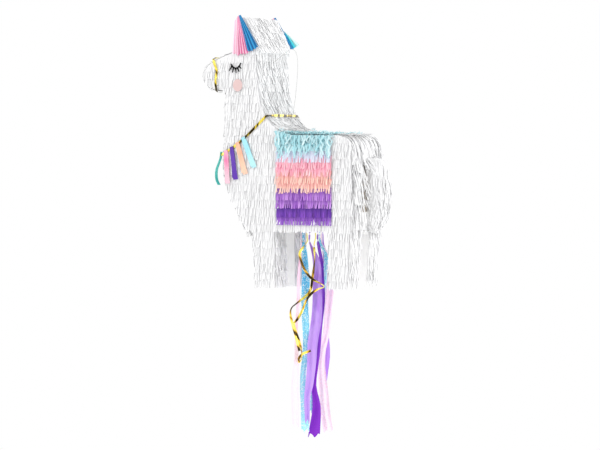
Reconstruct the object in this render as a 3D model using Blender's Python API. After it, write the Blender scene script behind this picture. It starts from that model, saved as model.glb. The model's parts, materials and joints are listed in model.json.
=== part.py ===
"""A llama pinata: a card box body under fringed tissue, hung from a cord loop, with streamers that
pull open a trap door in its belly."""

import math

import bmesh
import bpy
from mathutils import Vector

# Driving dimensions, in metres. x runs from muzzle to rump and y across the body. Heights are
# written as height above the soles, and the model is placed with the top of the loop at z = 0.
LOOP_TOP = 0.478
GAP = 0.0003
CARD = 0.002
TISSUE = 0.003
PAPER = 0.0008
CREPE = 0.0006

PANEL_OUT = 0.065
PANEL_IN = PANEL_OUT - CARD
STRIP_EDGE = PANEL_IN - GAP
SKIN_IN = PANEL_OUT + GAP
SKIN_OUT = SKIN_IN + TISSUE
STICKER_IN = SKIN_OUT + GAP
RIBBON_OUT = STICKER_IN + PAPER
COVER = GAP + TISSUE

SOLE = 0.002
BELLY = 0.116
LEG_INNER = 0.019

DOOR_FRONT, DOOR_LENGTH, DOOR_HALF = 0.004, 0.064, 0.050
DOOR_CLEARANCE = 0.0005
TAPE_X = 0.044
TAPE_HALF_LENGTH, TAPE_HALF_WIDTH = 0.0485, 0.007
STREAMER_TOP = 0.113

FLAP_TOP, FLAP_BOTTOM = 0.262, 0.156
FLAP_LEFT, FLAP_RIGHT = -0.024, 0.044
TAIL_TOP, TAIL_FOOT = 0.258, 0.108
TAIL_LEFT, TAIL_RIGHT = -0.004, 0.060

BLANKET_FRONT, BLANKET_REAR, BLANKET_HEM = 0.001, 0.123, 0.128

CORD_RADIUS = 0.0006
CORD_HOLE = 0.0018
KNOT_RADIUS = 0.0030
WASHER_RADIUS, WASHER_THICK = 0.008, 0.001
RIBBON_WIDTH = 0.005


def smooth(points, steps=4):
    """A Catmull-Rom curve through points, as a list of tuples."""
    vectors = [Vector(p) for p in points]
    padded = [2 * vectors[0] - vectors[1], *vectors, 2 * vectors[-1] - vectors[-2]]
    curve = []
    for a, b, c, d in zip(padded, padded[1:], padded[2:], padded[3:]):
        for i in range(steps):
            t = i / steps
            square, cube = 2 * a - 5 * b + 4 * c - d, 3 * b - a - 3 * c + d
            curve.append(0.5 * (2 * b + (c - a) * t + square * t**2 + cube * t**3))
    return [tuple(p) for p in [*curve, vectors[-1]]]


# The edge of the card seen from the side, as (x, height), clockwise from the chest's lower corner.
CHEST = smooth([(-0.070, BELLY), (-0.092, 0.157), (-0.110, 0.196), (-0.120, 0.238), (-0.119, 0.290)], 2)
CHEST += [(-0.115, 0.388)]
FACE = [(-0.115, 0.388), (-0.121, 0.395)]
FACE += smooth([(-0.146, 0.398), (-0.160, 0.408), (-0.166, 0.426), (-0.159, 0.443), (-0.140, 0.455)], 3)
FACE += [(-0.094, 0.473)]
EAR = [(-0.094, 0.473), (-0.091, 0.522), (-0.087, 0.533), (-0.079, 0.540), (-0.072, 0.539), (-0.041, 0.479)]
NAPE = [(-0.041, 0.479), (-0.048, 0.467), (-0.047, 0.440), (-0.041, 0.392)]
NAPE += smooth([(-0.037, 0.370), (-0.026, 0.345), (-0.003, 0.319), (0.030, 0.307)], 3)
BACK = [(0.030, 0.307), (0.138, 0.305)]
RUMP = smooth([(0.138, 0.305), (0.152, 0.300), (0.162, 0.288), (0.166, 0.270)], 3)
RUMP += [(0.166, 0.150), (0.163, BELLY)]
REAR_LEG = [(0.163, BELLY), (0.156, SOLE), (0.117, SOLE), (0.115, BELLY)]
FRONT_LEG = [(-0.006, BELLY), (-0.004, SOLE), (-0.047, SOLE), (-0.054, BELLY)]
LEGS = {"front": FRONT_LEG, "rear": REAR_LEG}
SECTIONS = {
    "chest": CHEST,
    "face": FACE,
    "ear": EAR,
    "nape": NAPE,
    "back": BACK,
    "rump": RUMP,
    "rear_leg": REAR_LEG,
    "belly": [REAR_LEG[-1], FRONT_LEG[0]],
    "front_leg": FRONT_LEG,
    "chest_step": [FRONT_LEG[-1], CHEST[0]],
}


def clear_scene():
    for thing in list(bpy.data.objects):
        bpy.data.objects.remove(thing, do_unlink=True)


def material(name, colour, roughness=0.85, metallic=0.0):
    made = bpy.data.materials.new(name)
    made.use_nodes = True
    shader = made.node_tree.nodes["Principled BSDF"]
    shader.inputs["Base Color"].default_value = (*colour, 1)
    shader.inputs["Roughness"].default_value = roughness
    shader.inputs["Metallic"].default_value = metallic
    return made


def add_mesh(name, points, faces, look):
    """A closed solid from corners whose z is height above the soles."""
    mesh = bpy.data.meshes.new(name)
    mesh.from_pydata([(x, y, z - LOOP_TOP) for x, y, z in points], [], faces)
    work = bmesh.new()
    work.from_mesh(mesh)
    bmesh.ops.recalc_face_normals(work, faces=work.faces)
    work.to_mesh(mesh)
    work.free()
    thing = bpy.data.objects.new(name, mesh)
    bpy.context.collection.objects.link(thing)
    mesh.materials.append(look)
    return thing


def loft(name, rings, look):
    """A solid through rings of equal point counts, capped at both ends."""
    count = len(rings[0])
    points = [p for ring in rings for p in ring]
    faces = [tuple(range(count)), tuple(range(len(points) - count, len(points)))]
    for i in range(len(rings) - 1):
        a, b = i * count, (i + 1) * count
        for j in range(count):
            k = (j + 1) % count
            faces.append((a + j, a + k, b + k, b + j))
    return add_mesh(name, points, faces, look)


def prism(name, outline, y0, y1, look):
    """An outline in x and height, carried across from y0 to y1."""
    return loft(name, [[(x, y, z) for x, z in outline] for y in (y0, y1)], look)


def box(name, x, y, z, look):
    """A block between the two values of each axis."""
    return prism(name, [(x[0], z[0]), (x[1], z[0]), (x[1], z[1]), (x[0], z[1])], y[0], y[1], look)


def cutter(thing):
    thing.hide_render = True
    thing.display_type = "WIRE"
    thing.hide_set(True)
    return thing


def cut(thing, tool, operation="DIFFERENCE"):
    modifier = thing.modifiers.new(tool.name, "BOOLEAN")
    modifier.operation = operation
    modifier.object = cutter(tool)
    modifier.solver = "EXACT"


def rod(name, a, b, radius, look, sides=16):
    """A round bar between two points given as x, y and height."""
    start, end = Vector(a), Vector(b)
    turn = (end - start).to_track_quat("Z", "Y").to_matrix()
    rings = []
    for centre in (start, end):
        ring = []
        for i in range(sides):
            angle = math.tau * i / sides
            ring.append(tuple(centre + turn @ Vector((math.cos(angle), math.sin(angle), 0)) * radius))
        rings.append(ring)
    return loft(name, rings, look)


def full_outline():
    """The whole edge as one loop, and each section's first and last place in it."""
    loop, places = [], {}
    for name, points in SECTIONS.items():
        first = len(loop)
        loop += points[:-1]
        places[name] = (first, first + len(points) - 1)
    return loop, places


def offset_loop(loop, distance):
    """The loop moved outward, with mitred corners. A negative distance moves it inward."""
    moved = []
    for i, point in enumerate(loop):
        here = Vector(point)
        before = (here - Vector(loop[i - 1])).normalized()
        after = (Vector(loop[(i + 1) % len(loop)]) - here).normalized()
        normal_a, normal_b = Vector((-before.y, before.x)), Vector((-after.y, after.x))
        bisector = (normal_a + normal_b).normalized()
        moved.append(tuple(here + bisector * (distance / max(bisector.dot(normal_a), 0.35))))
    return moved


def section_of(loop, place):
    first, last = place
    return [loop[i % len(loop)] for i in range(first, last + 1)]


def pulled_in(points):
    """A path shortened by half a gap at each end."""
    path = [Vector(p) for p in points]
    path[0] += (path[1] - path[0]).normalized() * GAP / 2
    path[-1] += (path[-2] - path[-1]).normalized() * GAP / 2
    return [tuple(p) for p in path]


def wrap(name, place, inner, outer, half, look, loop):
    """A strip bent along a section of the edge, between two offsets from it."""
    low = pulled_in(section_of(offset_loop(loop, inner), place))
    high = pulled_in(section_of(offset_loop(loop, outer), place))
    rings = []
    for (xa, za), (xb, zb) in zip(low, high):
        rings.append([(xa, -half, za), (xa, half, za), (xb, half, zb), (xb, -half, zb)])
    return loft(name, rings, look)


def join_places(places, first, last):
    return places[first][0], places[last][1]


def side_name(sign):
    return "left" if sign < 0 else "right"


def between(sign, a, b):
    """A span of y on the left side of the body, or on the right, low value first."""
    return (-b, -a) if sign < 0 else (a, b)


# ---------------------------------------------------------------- the card box


def add_panels(loop, card):
    for sign in (-1, 1):
        prism(f"{side_name(sign)}_side_panel", loop, *between(sign, PANEL_IN, PANEL_OUT), card)


def add_edge_strips(loop, places, card):
    strips = {}
    for name in ("face", "ear", "nape", "back", "rump", "chest"):
        strips[name] = wrap(f"{name}_strip", places[name], -CARD, 0, STRIP_EDGE, card, loop)
    return strips


def add_belly_board(card):
    span = (-0.0660, 0.1600)
    board = box("belly_board", span, (-STRIP_EDGE, STRIP_EDGE), (BELLY, BELLY + CARD), card)
    hole = box(
        "door_hole",
        (DOOR_FRONT - DOOR_CLEARANCE, DOOR_FRONT + DOOR_LENGTH + DOOR_CLEARANCE),
        (-DOOR_HALF - DOOR_CLEARANCE, DOOR_HALF + DOOR_CLEARANCE),
        (BELLY - CARD, BELLY + 2 * CARD),
        card,
    )
    cut(board, hole)


def add_leg_boxes(card):
    """Four open boxes: a front wall, an inner wall, a rear wall and a sole, closed by the side panel."""
    for leg, outline in LEGS.items():
        rear_top, rear_foot, front_foot, front_top = outline
        outer = [front_foot, rear_foot, (rear_top[0], BELLY - GAP), (front_top[0], BELLY - GAP)]
        inner = [
            (front_foot[0] + CARD, SOLE + CARD),
            (rear_foot[0] - CARD, SOLE + CARD),
            (rear_top[0] - CARD, BELLY + CARD),
            (front_top[0] + CARD, BELLY + CARD),
        ]
        for sign in (-1, 1):
            name = f"{leg}_{side_name(sign)}_leg_box"
            leg_box = prism(name, outer, *between(sign, LEG_INNER, STRIP_EDGE), card)
            hollow = prism(f"{name}_hollow", inner, *between(sign, LEG_INNER + CARD, PANEL_OUT), card)
            cut(leg_box, hollow)


def add_trap_door(card, tape):
    x = (DOOR_FRONT, DOOR_FRONT + DOOR_LENGTH)
    box("trap_door", x, (-DOOR_HALF, DOOR_HALF), (BELLY, BELLY + CARD), card)
    under = (BELLY - GAP - PAPER, BELLY - GAP)
    box("door_hinge_tape", (DOOR_FRONT - 0.009, DOOR_FRONT - GAP), (-0.043, 0.043), under, tape)
    box("door_seal", (x[1] - 0.012, x[1] + 0.005), (-0.011, 0.011), under, tape)
    along = (TAPE_X - TAPE_HALF_WIDTH, TAPE_X + TAPE_HALF_WIDTH)
    box("streamer_tape", along, (-TAPE_HALF_LENGTH, TAPE_HALF_LENGTH), under, tape)


def add_fill_flap(rump_strip, rump_fringe, card, tape):
    rump_x = RUMP[-2][0]
    hole = box(
        "flap_hole",
        (rump_x - 0.012, rump_x + 0.012),
        (FLAP_LEFT - DOOR_CLEARANCE, FLAP_RIGHT + DOOR_CLEARANCE),
        (FLAP_BOTTOM - DOOR_CLEARANCE, FLAP_TOP + DOOR_CLEARANCE),
        card,
    )
    cut(rump_strip, hole)
    cut(rump_fringe, hole)
    across, up = (FLAP_LEFT, FLAP_RIGHT), (FLAP_BOTTOM, FLAP_TOP)
    box("fill_flap", (rump_x - CARD, rump_x), across, up, card)
    inside = (rump_x - CARD - GAP - PAPER, rump_x - CARD - GAP)
    box("flap_hinge_tape", inside, across, (FLAP_TOP + 0.001, FLAP_TOP + 0.007), tape)


def add_tail(tissue):
    """A drooping brush, with a root that sits on the fill flap through the fringe's opening."""
    rump_x = RUMP[-2][0]
    face = rump_x + COVER + GAP
    back = [(face, TAIL_FOOT), (face, TAIL_TOP)]
    bulge = [(0.184, 0.256), (0.201, 0.238), (0.211, 0.205), (0.212, 0.170), (0.204, 0.130), (0.190, 0.103)]
    tail = prism("tail_tuft", [*back, *smooth(bulge, 2)], TAIL_LEFT, TAIL_RIGHT, tissue)
    root_y = (TAIL_LEFT + 0.001, FLAP_RIGHT - 0.002)
    root = box("tail_root", (rump_x + GAP, face + TISSUE), root_y, (0.170, TAIL_TOP - 0.002), tissue)
    cut(tail, root, "UNION")


# ---------------------------------------------------------------- the tissue skins


def add_edge_fringes(loop, places, tissue):
    runs = {
        "head_fringe": join_places(places, "face", "ear"),
        "neck_fringe": join_places(places, "nape", "back"),
        "rump_fringe": places["rump"],
        "chest_fringe": places["chest"],
    }
    made = {}
    for name, place in runs.items():
        made[name] = wrap(name, place, GAP, COVER, PANEL_OUT, tissue, loop)
    return made


def add_side_fringes(loop, tissue):
    """Each side's tissue, which also goes round the front and the rear of that side's legs."""
    outline = offset_loop(loop, COVER)
    for sign in (-1, 1):
        side = side_name(sign)
        skin = prism(f"{side}_side_fringe", outline, *between(sign, SKIN_IN, SKIN_OUT), tissue)
        for leg, (rear_top, rear_foot, front_foot, front_top) in LEGS.items():
            edges = {"front": (front_top, front_foot, -1), "back": (rear_top, rear_foot, 1)}
            for face, (top, foot, way) in edges.items():
                inner = [(top[0] + way * GAP, BELLY - 2 * COVER), (foot[0] + way * GAP, SOLE - TISSUE)]
                outer = [(x + way * (TISSUE - GAP), z) for x, z in reversed(inner)]
                span = between(sign, LEG_INNER, SKIN_OUT - GAP)
                cut(skin, prism(f"{leg}_{side}_leg_{face}", inner + outer, *span, tissue), "UNION")


def add_blanket(loop, places, look):
    """A saddle cloth of fringe rows over the back and down both flanks."""
    surface = offset_loop(loop, COVER + GAP)
    path = sorted(section_of(surface, join_places(places, "nape", "back")))
    spans = 8
    rings = []
    for i in range(spans + 1):
        x = BLANKET_FRONT + (BLANKET_REAR - BLANKET_FRONT) * i / spans
        rings.append(saddle_ring(x, BLANKET_HEM, height_on(path, x)))
    return loft("blanket", rings, look)


def height_on(path, x):
    for (xa, za), (xb, zb) in zip(path, path[1:]):
        if xa <= x <= xb:
            return za + (zb - za) * (x - xa) / (xb - xa) + GAP
    return path[-1][1] + GAP


def saddle_ring(x, hem, top):
    inner, outer = STICKER_IN, STICKER_IN + TISSUE
    return [
        (x, -outer, hem),
        (x, -outer, top + TISSUE),
        (x, outer, top + TISSUE),
        (x, outer, hem),
        (x, inner, hem),
        (x, inner, top),
        (x, -inner, top),
        (x, -inner, hem),
    ]


# ---------------------------------------------------------------- face and trimmings


def add_ear_fans(look):
    fan = [(-0.080, 0.546), (-0.074, 0.545), (-0.036, 0.484), (-0.043, 0.475)]
    fan += [(-0.066, 0.468), (-0.097, 0.466), (-0.096, 0.500), (-0.093, 0.530)]
    for sign in (-1, 1):
        prism(f"{side_name(sign)}_ear_fan", fan, *between(sign, STICKER_IN, STICKER_IN + TISSUE), look)


def closed_eye():
    """A sleeping eye: a lid line that dips in the middle, with five lashes below it."""
    centre, half, drop, thick = (-0.0925, 0.4485), 0.0125, 0.0062, 0.0017
    upper, lower = [], []
    steps, lashes = 20, 5
    for i in range(steps + 1):
        u = 2 * i / steps - 1
        line = (centre[0] + half * u, centre[1] - drop * (1 - u * u))
        upper.append((line[0], line[1] + thick / 2))
        lash = i % (steps // lashes) == steps // lashes // 2
        if lash:
            lower += lash_points(line, u, thick)
        else:
            lower.append((line[0], line[1] - thick / 2))
    return upper + lower[::-1]


def lash_points(root, u, thick):
    reach = Vector((0.45 * u, -1)).normalized() * 0.0072
    half = 0.0007
    base = root[1] - thick / 2
    return [
        (root[0] - half, base),
        (root[0] - half + reach.x, base + reach.y),
        (root[0] + half + reach.x, base + reach.y),
        (root[0] + half, base),
    ]


def cheek():
    centre, half_x, half_z, sides = (-0.087, 0.4050), 0.0105, 0.0122, 28
    turns = [math.tau * i / sides for i in range(sides)]
    return [(centre[0] + half_x * math.cos(a), centre[1] + half_z * math.sin(a)) for a in turns]


def add_face(black, blush):
    for sign in (-1, 1):
        span = between(sign, STICKER_IN, RIBBON_OUT)
        prism(f"{side_name(sign)}_eye", closed_eye(), *span, black)
        prism(f"{side_name(sign)}_cheek", cheek(), *span, blush)


def add_ribbon(name, path, loop, look):
    """A band round the body: a slab along path, kept only where it lies on the tissue's surface."""
    half = RIBBON_WIDTH / 2
    line = [Vector(p) for p in path]
    upper, lower = [], []
    for i, p in enumerate(line):
        along = (line[min(i + 1, len(line) - 1)] - line[max(i - 1, 0)]).normalized()
        across = Vector((-along.y, along.x)) * half
        upper.append(tuple(p + across))
        lower.append(tuple(p - across))
    band = prism(name, upper + lower[::-1], -RIBBON_OUT, RIBBON_OUT, look)
    shell = prism(f"{name}_outside", offset_loop(loop, COVER + GAP + PAPER), -0.08, 0.08, look)
    core = prism(f"{name}_inside", offset_loop(loop, COVER + GAP), -STICKER_IN, STICKER_IN, look)
    cut(band, shell, "INTERSECT")
    cut(band, core)


NECKLACE = [(-0.135, 0.262), (-0.115, 0.271), (-0.093, 0.284), (-0.064, 0.306), (-0.036, 0.331)]
NECKLACE = smooth([*NECKLACE, (-0.022, 0.344), (-0.006, 0.349)], 3)
HALTER = smooth([(-0.144, 0.475), (-0.141, 0.456), (-0.135, 0.434), (-0.138, 0.414), (-0.134, 0.385)], 3)

# Tassels on each side: the point of the necklace that holds it, as (x, height), and its lean from
# upright in degrees.
SIDE_TASSELS = {
    "pink": ((-0.1130, 0.2722), 3),
    "purple": ((-0.1000, 0.2795), 8),
    "peach": ((-0.0865, 0.2885), 16),
    "blue": ((-0.0730, 0.2990), 23),
}
TASSEL_LENGTH, TASSEL_WIDTH, TASSEL_THICK = 0.066, 0.0115, 0.0024
FRONT_TASSEL_Y, FRONT_TASSEL_HALF_THICK = 0.0600, 0.0007


def add_side_tassel(name, held, lean, sign, look):
    """A folded strip hanging on the outside of the necklace, from just above it."""
    down = Vector((math.sin(math.radians(lean)), -math.cos(math.radians(lean))))
    side = Vector((-down.y, down.x)) * TASSEL_WIDTH / 2
    top = Vector(held) - down * RIBBON_WIDTH * 0.6
    foot = top + down * TASSEL_LENGTH
    outline = [tuple(top - side), tuple(top + side), tuple(foot + side), tuple(foot - side)]
    span = between(sign, RIBBON_OUT + GAP, RIBBON_OUT + GAP + TASSEL_THICK)
    return prism(name, outline, *span, look)


def add_front_tassel(name, sign, look):
    """A narrow curl that hangs down the front of the chest, near one side."""
    line = [(-0.1290, 0.2725), (-0.1315, 0.2580), (-0.1400, 0.2360), (-0.1400, 0.2180), (-0.1345, 0.2060)]
    front = [(x - FRONT_TASSEL_HALF_THICK, z) for x, z in smooth(line, 3)]
    back = [(x + 2 * FRONT_TASSEL_HALF_THICK, z) for x, z in reversed(front)]
    span = between(sign, FRONT_TASSEL_Y - TASSEL_WIDTH / 2, FRONT_TASSEL_Y + TASSEL_WIDTH / 2)
    return prism(name, front + back, *span, look)


def add_tassels(looks):
    for sign in (-1, 1):
        side = side_name(sign)
        add_front_tassel(f"{side}_teal_tassel", sign, looks["teal"])
        for colour, (held, lean) in SIDE_TASSELS.items():
            add_side_tassel(f"{side}_{colour}_tassel", held, lean, sign, looks[colour])


# ---------------------------------------------------------------- hanging cord


CORD_ROUTE = [
    (-0.0550, 0.4500),
    (-0.0480, 0.4510),
    (-0.0400, 0.4530),
    (-0.0320, 0.4590),
    (-0.0235, 0.4650),
    (-0.0140, 0.4717),
    (-0.0060, 0.4762),
    (0.0000, 0.4774),
    (0.0055, 0.4745),
    (0.0098, 0.4670),
    (0.0118, 0.4560),
    (0.0122, 0.4420),
    (0.0115, 0.4250),
    (0.0090, 0.4000),
    (0.0060, 0.3760),
    (0.0028, 0.3560),
    (-0.0005, 0.3400),
    (-0.0035, 0.3260),
    (-0.0050, 0.3120),
]


def add_tube(name, route, radius, look, steps):
    """A round cord along a smooth route of x, y and height."""
    points = smooth(route, steps)
    curve = bpy.data.curves.new(name, "CURVE")
    curve.dimensions = "3D"
    curve.bevel_depth = radius
    curve.bevel_resolution = 2
    curve.use_fill_caps = True
    spline = curve.splines.new("POLY")
    spline.points.add(len(points) - 1)
    for place, (x, y, z) in zip(spline.points, points):
        place.co = (x, y, z - LOOP_TOP, 1)
    curve.materials.append(look)
    thing = bpy.data.objects.new(name, curve)
    bpy.context.collection.objects.link(thing)
    return thing


def add_knot(name, centre, look):
    work = bmesh.new()
    bmesh.ops.create_uvsphere(work, u_segments=12, v_segments=8, radius=KNOT_RADIUS)
    mesh = bpy.data.meshes.new(name)
    work.to_mesh(mesh)
    work.free()
    mesh.materials.append(look)
    knot = bpy.data.objects.new(name, mesh)
    knot.location = (centre[0], 0, centre[1] - LOOP_TOP)
    bpy.context.collection.objects.link(knot)


def add_hanging_loop(skins, strips, cord_look, card):
    """A cord through a hole at the nape and one at the withers, knotted inside over card washers."""
    route = [(x, 0, z) for x, z in CORD_ROUTE]
    add_tube("hanging_cord", route, CORD_RADIUS, cord_look, 4)
    ends = {"nape": (CORD_ROUTE[0], CORD_ROUTE[2]), "withers": (CORD_ROUTE[-1], CORD_ROUTE[-3])}
    for name, (inside, outside) in ends.items():
        way = (Vector(outside) - Vector(inside)).normalized()
        start = Vector(inside)
        add_knot(f"{name}_knot", tuple(start - way * (KNOT_RADIUS + GAP)), cord_look)
        near = start + way * GAP
        far = near + way * WASHER_THICK
        washer = rod(f"{name}_washer", (near.x, 0, near.y), (far.x, 0, far.y), WASHER_RADIUS, card, 24)
        deep, high = start - way * KNOT_RADIUS, Vector(outside) + way * 2 * KNOT_RADIUS
        hole = rod(f"{name}_cord_hole", (deep.x, 0, deep.y), (high.x, 0, high.y), CORD_HOLE, card, 12)
        cut(washer, hole)
        cut(strips["nape"], hole)
        cut(skins["neck_fringe"], hole)


# ---------------------------------------------------------------- streamers


# Each crepe streamer from the tape to its tail: (x, y, height, width, turn of the width about z in
# degrees). The first point lies along the tape, and the streamers stay flat against the open door
# for as far as the door reaches below the tape.
CREPE_STREAMERS = {
    "rose": [
        (TAPE_X, -0.0450, STREAMER_TOP, 0.004, 90),
        (TAPE_X - 0.0005, -0.045, 0.090, 0.004, 84),
        (0.040, -0.044, 0.048, 0.005, 30),
        (0.037, -0.045, -0.010, 0.006, 28),
        (0.033, -0.043, -0.070, 0.006, 28),
        (0.032, -0.043, -0.124, 0.008, 28),
        (0.029, -0.042, -0.194, 0.015, 28),
        (0.029, -0.042, -0.272, 0.014, 28),
    ],
    "sky": [
        (TAPE_X, -0.0350, STREAMER_TOP, 0.012, 90),
        (TAPE_X - 0.0005, -0.034, 0.090, 0.012, 84),
        (0.045, -0.030, 0.062, 0.011, 35),
        (0.045, -0.028, 0.016, 0.016, 28),
        (0.043, -0.029, -0.024, 0.014, 28),
        (0.043, -0.023, -0.068, 0.014, 28),
        (0.040, -0.019, -0.114, 0.012, 28),
        (0.034, -0.019, -0.190, 0.011, 28),
        (0.036, -0.018, -0.234, 0.014, 28),
        (0.039, -0.017, -0.284, 0.016, 28),
    ],
    "lavender": [
        (TAPE_X, -0.0090, STREAMER_TOP, 0.009, 90),
        (TAPE_X - 0.0005, -0.008, 0.090, 0.009, 84),
        (0.053, -0.001, 0.060, 0.014, 35),
        (0.057, 0.000, 0.030, 0.017, 28),
        (0.058, -0.002, -0.010, 0.019, 28),
        (0.058, -0.008, -0.064, 0.021, 28),
        (0.057, -0.020, -0.110, 0.020, 28),
        (0.055, -0.023, -0.150, 0.018, 28),
        (0.052, -0.026, -0.194, 0.016, 28),
        (0.049, -0.028, -0.216, 0.012, 28),
        (0.048, -0.028, -0.264, 0.010, 28),
    ],
    "violet": [
        (TAPE_X, 0.0270, STREAMER_TOP, 0.008, 90),
        (TAPE_X - 0.0005, 0.027, 0.090, 0.008, 84),
        (0.051, 0.029, 0.052, 0.008, 35),
        (0.056, 0.023, 0.012, 0.008, 28),
        (0.060, 0.017, -0.028, 0.007, 28),
        (0.057, 0.008, -0.108, 0.007, 28),
        (0.054, 0.002, -0.148, 0.008, 28),
        (0.051, -0.003, -0.194, 0.010, 28),
        (0.056, -0.003, -0.234, 0.016, 28),
        (0.052, -0.005, -0.294, 0.024, 28),
    ],
    "ice": [
        (TAPE_X, 0.0345, STREAMER_TOP, 0.006, 90),
        (TAPE_X - 0.0005, 0.036, 0.090, 0.006, 84),
        (0.051, 0.046, 0.066, 0.008, 40),
        (0.052, 0.045, 0.040, 0.008, 28),
        (0.053, 0.039, 0.008, 0.008, 28),
        (0.049, 0.030, -0.024, 0.008, 28),
        (0.046, 0.019, -0.064, 0.008, 28),
        (0.044, 0.009, -0.114, 0.008, 28),
        (0.044, 0.002, -0.194, 0.008, 28),
        (0.043, 0.001, -0.248, 0.008, 28),
    ],
    "blossom": [
        (TAPE_X, 0.0415, STREAMER_TOP, 0.006, 90),
        (TAPE_X - 0.0005, 0.043, 0.090, 0.006, 84),
        (0.049, 0.050, 0.072, 0.010, 40),
        (0.053, 0.0535, 0.036, 0.014, 28),
        (0.056, 0.054, -0.004, 0.017, 28),
        (0.054, 0.053, -0.044, 0.015, 28),
        (0.054, 0.044, -0.088, 0.014, 28),
        (0.053, 0.028, -0.128, 0.015, 28),
        (0.055, 0.022, -0.168, 0.016, 28),
        (0.060, 0.022, -0.216, 0.018, 28),
        (0.067, 0.026, -0.288, 0.020, 28),
    ],
    "plum": [
        (TAPE_X, 0.0473, STREAMER_TOP, 0.0036, 90),
        (TAPE_X - 0.0005, 0.049, 0.090, 0.0036, 84),
        (0.044, 0.0545, 0.072, 0.008, 50),
        (0.048, 0.0575, 0.026, 0.008, 28),
        (0.0475, 0.057, -0.034, 0.008, 28),
        (0.049, 0.055, -0.094, 0.008, 28),
        (0.054, 0.048, -0.140, 0.010, 28),
        (0.051, 0.045, -0.200, 0.005, 28),
    ],
}

# The curling ribbons' routes, from the tape to their cut ends, as (x, y, height).
CURLING_RIBBONS = {
    "front": [
        (0.0432, -0.0200, STREAMER_TOP),
        (0.0437, -0.0203, 0.1075),
        (0.0450, -0.0215, 0.102),
        (0.0468, -0.0250, 0.094),
        (0.049, -0.047, 0.083),
        (0.044, -0.052, 0.071),
        (0.046, -0.049, 0.056),
        (0.050, -0.042, 0.039),
        (0.059, -0.036, 0.024),
        (0.070, -0.029, 0.015),
        (0.078, -0.023, 0.010),
        (0.080, -0.017, 0.004),
        (0.071, -0.023, 0.000),
        (0.061, -0.032, -0.008),
        (0.052, -0.039, -0.023),
        (0.045, -0.043, -0.043),
        (0.040, -0.053, -0.059),
        (0.037, -0.062, -0.068),
        (0.040, -0.059, -0.084),
        (0.043, -0.053, -0.102),
        (0.046, -0.048, -0.120),
        (0.045, -0.045, -0.137),
        (0.042, -0.050, -0.145),
        (0.045, -0.056, -0.136),
        (0.053, -0.052, -0.127),
        (0.063, -0.040, -0.122),
    ],
    "rear": [
        (0.0432, 0.0170, STREAMER_TOP),
        (0.0437, 0.0165, 0.1075),
        (0.0450, 0.0150, 0.103),
        (0.0465, 0.0095, 0.096),
        (0.0468, 0.0050, 0.088),
        (0.0525, -0.0060, 0.079),
        (0.058, -0.014, 0.062),
        (0.058, -0.018, 0.042),
        (0.057, -0.022, 0.022),
        (0.056, -0.026, 0.002),
        (0.054, -0.034, -0.009),
        (0.050, -0.048, -0.018),
        (0.043, -0.061, -0.027),
        (0.036, -0.070, -0.036),
        (0.034, -0.072, -0.047),
        (0.037, -0.073, -0.060),
        (0.040, -0.071, -0.076),
        (0.044, -0.066, -0.098),
        (0.048, -0.060, -0.122),
    ],
}
CURLED_RADIUS = 0.0015


def add_streamer(name, path, look):
    """A thin strip hung down path, a list of (x, y, height, width, turn of the width in degrees)."""
    rings = []
    for x, y, z, width, turn in smooth(path, 3):
        angle = math.radians(turn)
        wide = Vector((math.cos(angle), math.sin(angle))) * width / 2
        deep = Vector((-math.sin(angle), math.cos(angle))) * CREPE / 2
        corners = [-wide - deep, wide - deep, wide + deep, -wide + deep]
        rings.append([(x + c.x, y + c.y, z) for c in corners])
    return loft(name, rings, look)


def add_streamers(looks):
    for name, path in CREPE_STREAMERS.items():
        add_streamer(f"{name}_streamer", path, looks[name])
    for name, route in CURLING_RIBBONS.items():
        add_tube(f"{name}_curling_ribbon", route, CURLED_RADIUS, looks["gold"], 3)


def main():
    clear_scene()
    card = material("card", (0.48, 0.36, 0.24), 0.9)
    tissue = material("white_tissue", (0.86, 0.86, 0.85), 0.9)
    tape = material("paper_tape", (0.82, 0.80, 0.74), 0.6)
    cord_look = material("cord", (0.88, 0.88, 0.86), 0.8)
    gold = material("gold_foil", (0.80, 0.62, 0.16), 0.25, 1.0)
    black = material("black_sticker", (0.015, 0.015, 0.015), 0.5)
    blush = material("blush_sticker", (0.86, 0.60, 0.55), 0.7)
    looks = {
        "teal": material("teal_crepe", (0.16, 0.66, 0.58)),
        "pink": material("pink_crepe", (0.94, 0.52, 0.62)),
        "purple": material("purple_crepe", (0.20, 0.06, 0.50)),
        "peach": material("peach_crepe", (0.96, 0.60, 0.42)),
        "blue": material("blue_crepe", (0.36, 0.74, 0.86)),
        "lavender": material("lavender_crepe", (0.50, 0.32, 0.78)),
        "violet": material("violet_crepe", (0.18, 0.03, 0.46)),
        "ice": material("ice_crepe", (0.44, 0.80, 0.92)),
        "rose": material("rose_crepe", (0.95, 0.78, 0.84)),
        "sky": material("sky_crepe", (0.16, 0.56, 0.84)),
        "blossom": material("blossom_crepe", (0.92, 0.72, 0.84)),
        "plum": material("plum_crepe", (0.52, 0.30, 0.74)),
        "gold": gold,
    }

    loop, places = full_outline()
    add_panels(loop, card)
    strips = add_edge_strips(loop, places, card)
    add_belly_board(card)
    add_leg_boxes(card)
    add_trap_door(card, tape)
    skins = add_edge_fringes(loop, places, tissue)
    add_side_fringes(loop, tissue)
    add_fill_flap(strips["rump"], skins["rump_fringe"], card, tape)
    add_tail(tissue)
    add_blanket(loop, places, looks["lavender"])
    add_ear_fans(looks["pink"])
    add_face(black, blush)
    add_ribbon("necklace_ribbon", NECKLACE, loop, gold)
    add_ribbon("halter_ribbon", HALTER, loop, gold)
    add_tassels(looks)
    add_hanging_loop(skins, strips, cord_look, card)
    add_streamers(looks)


main()
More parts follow.
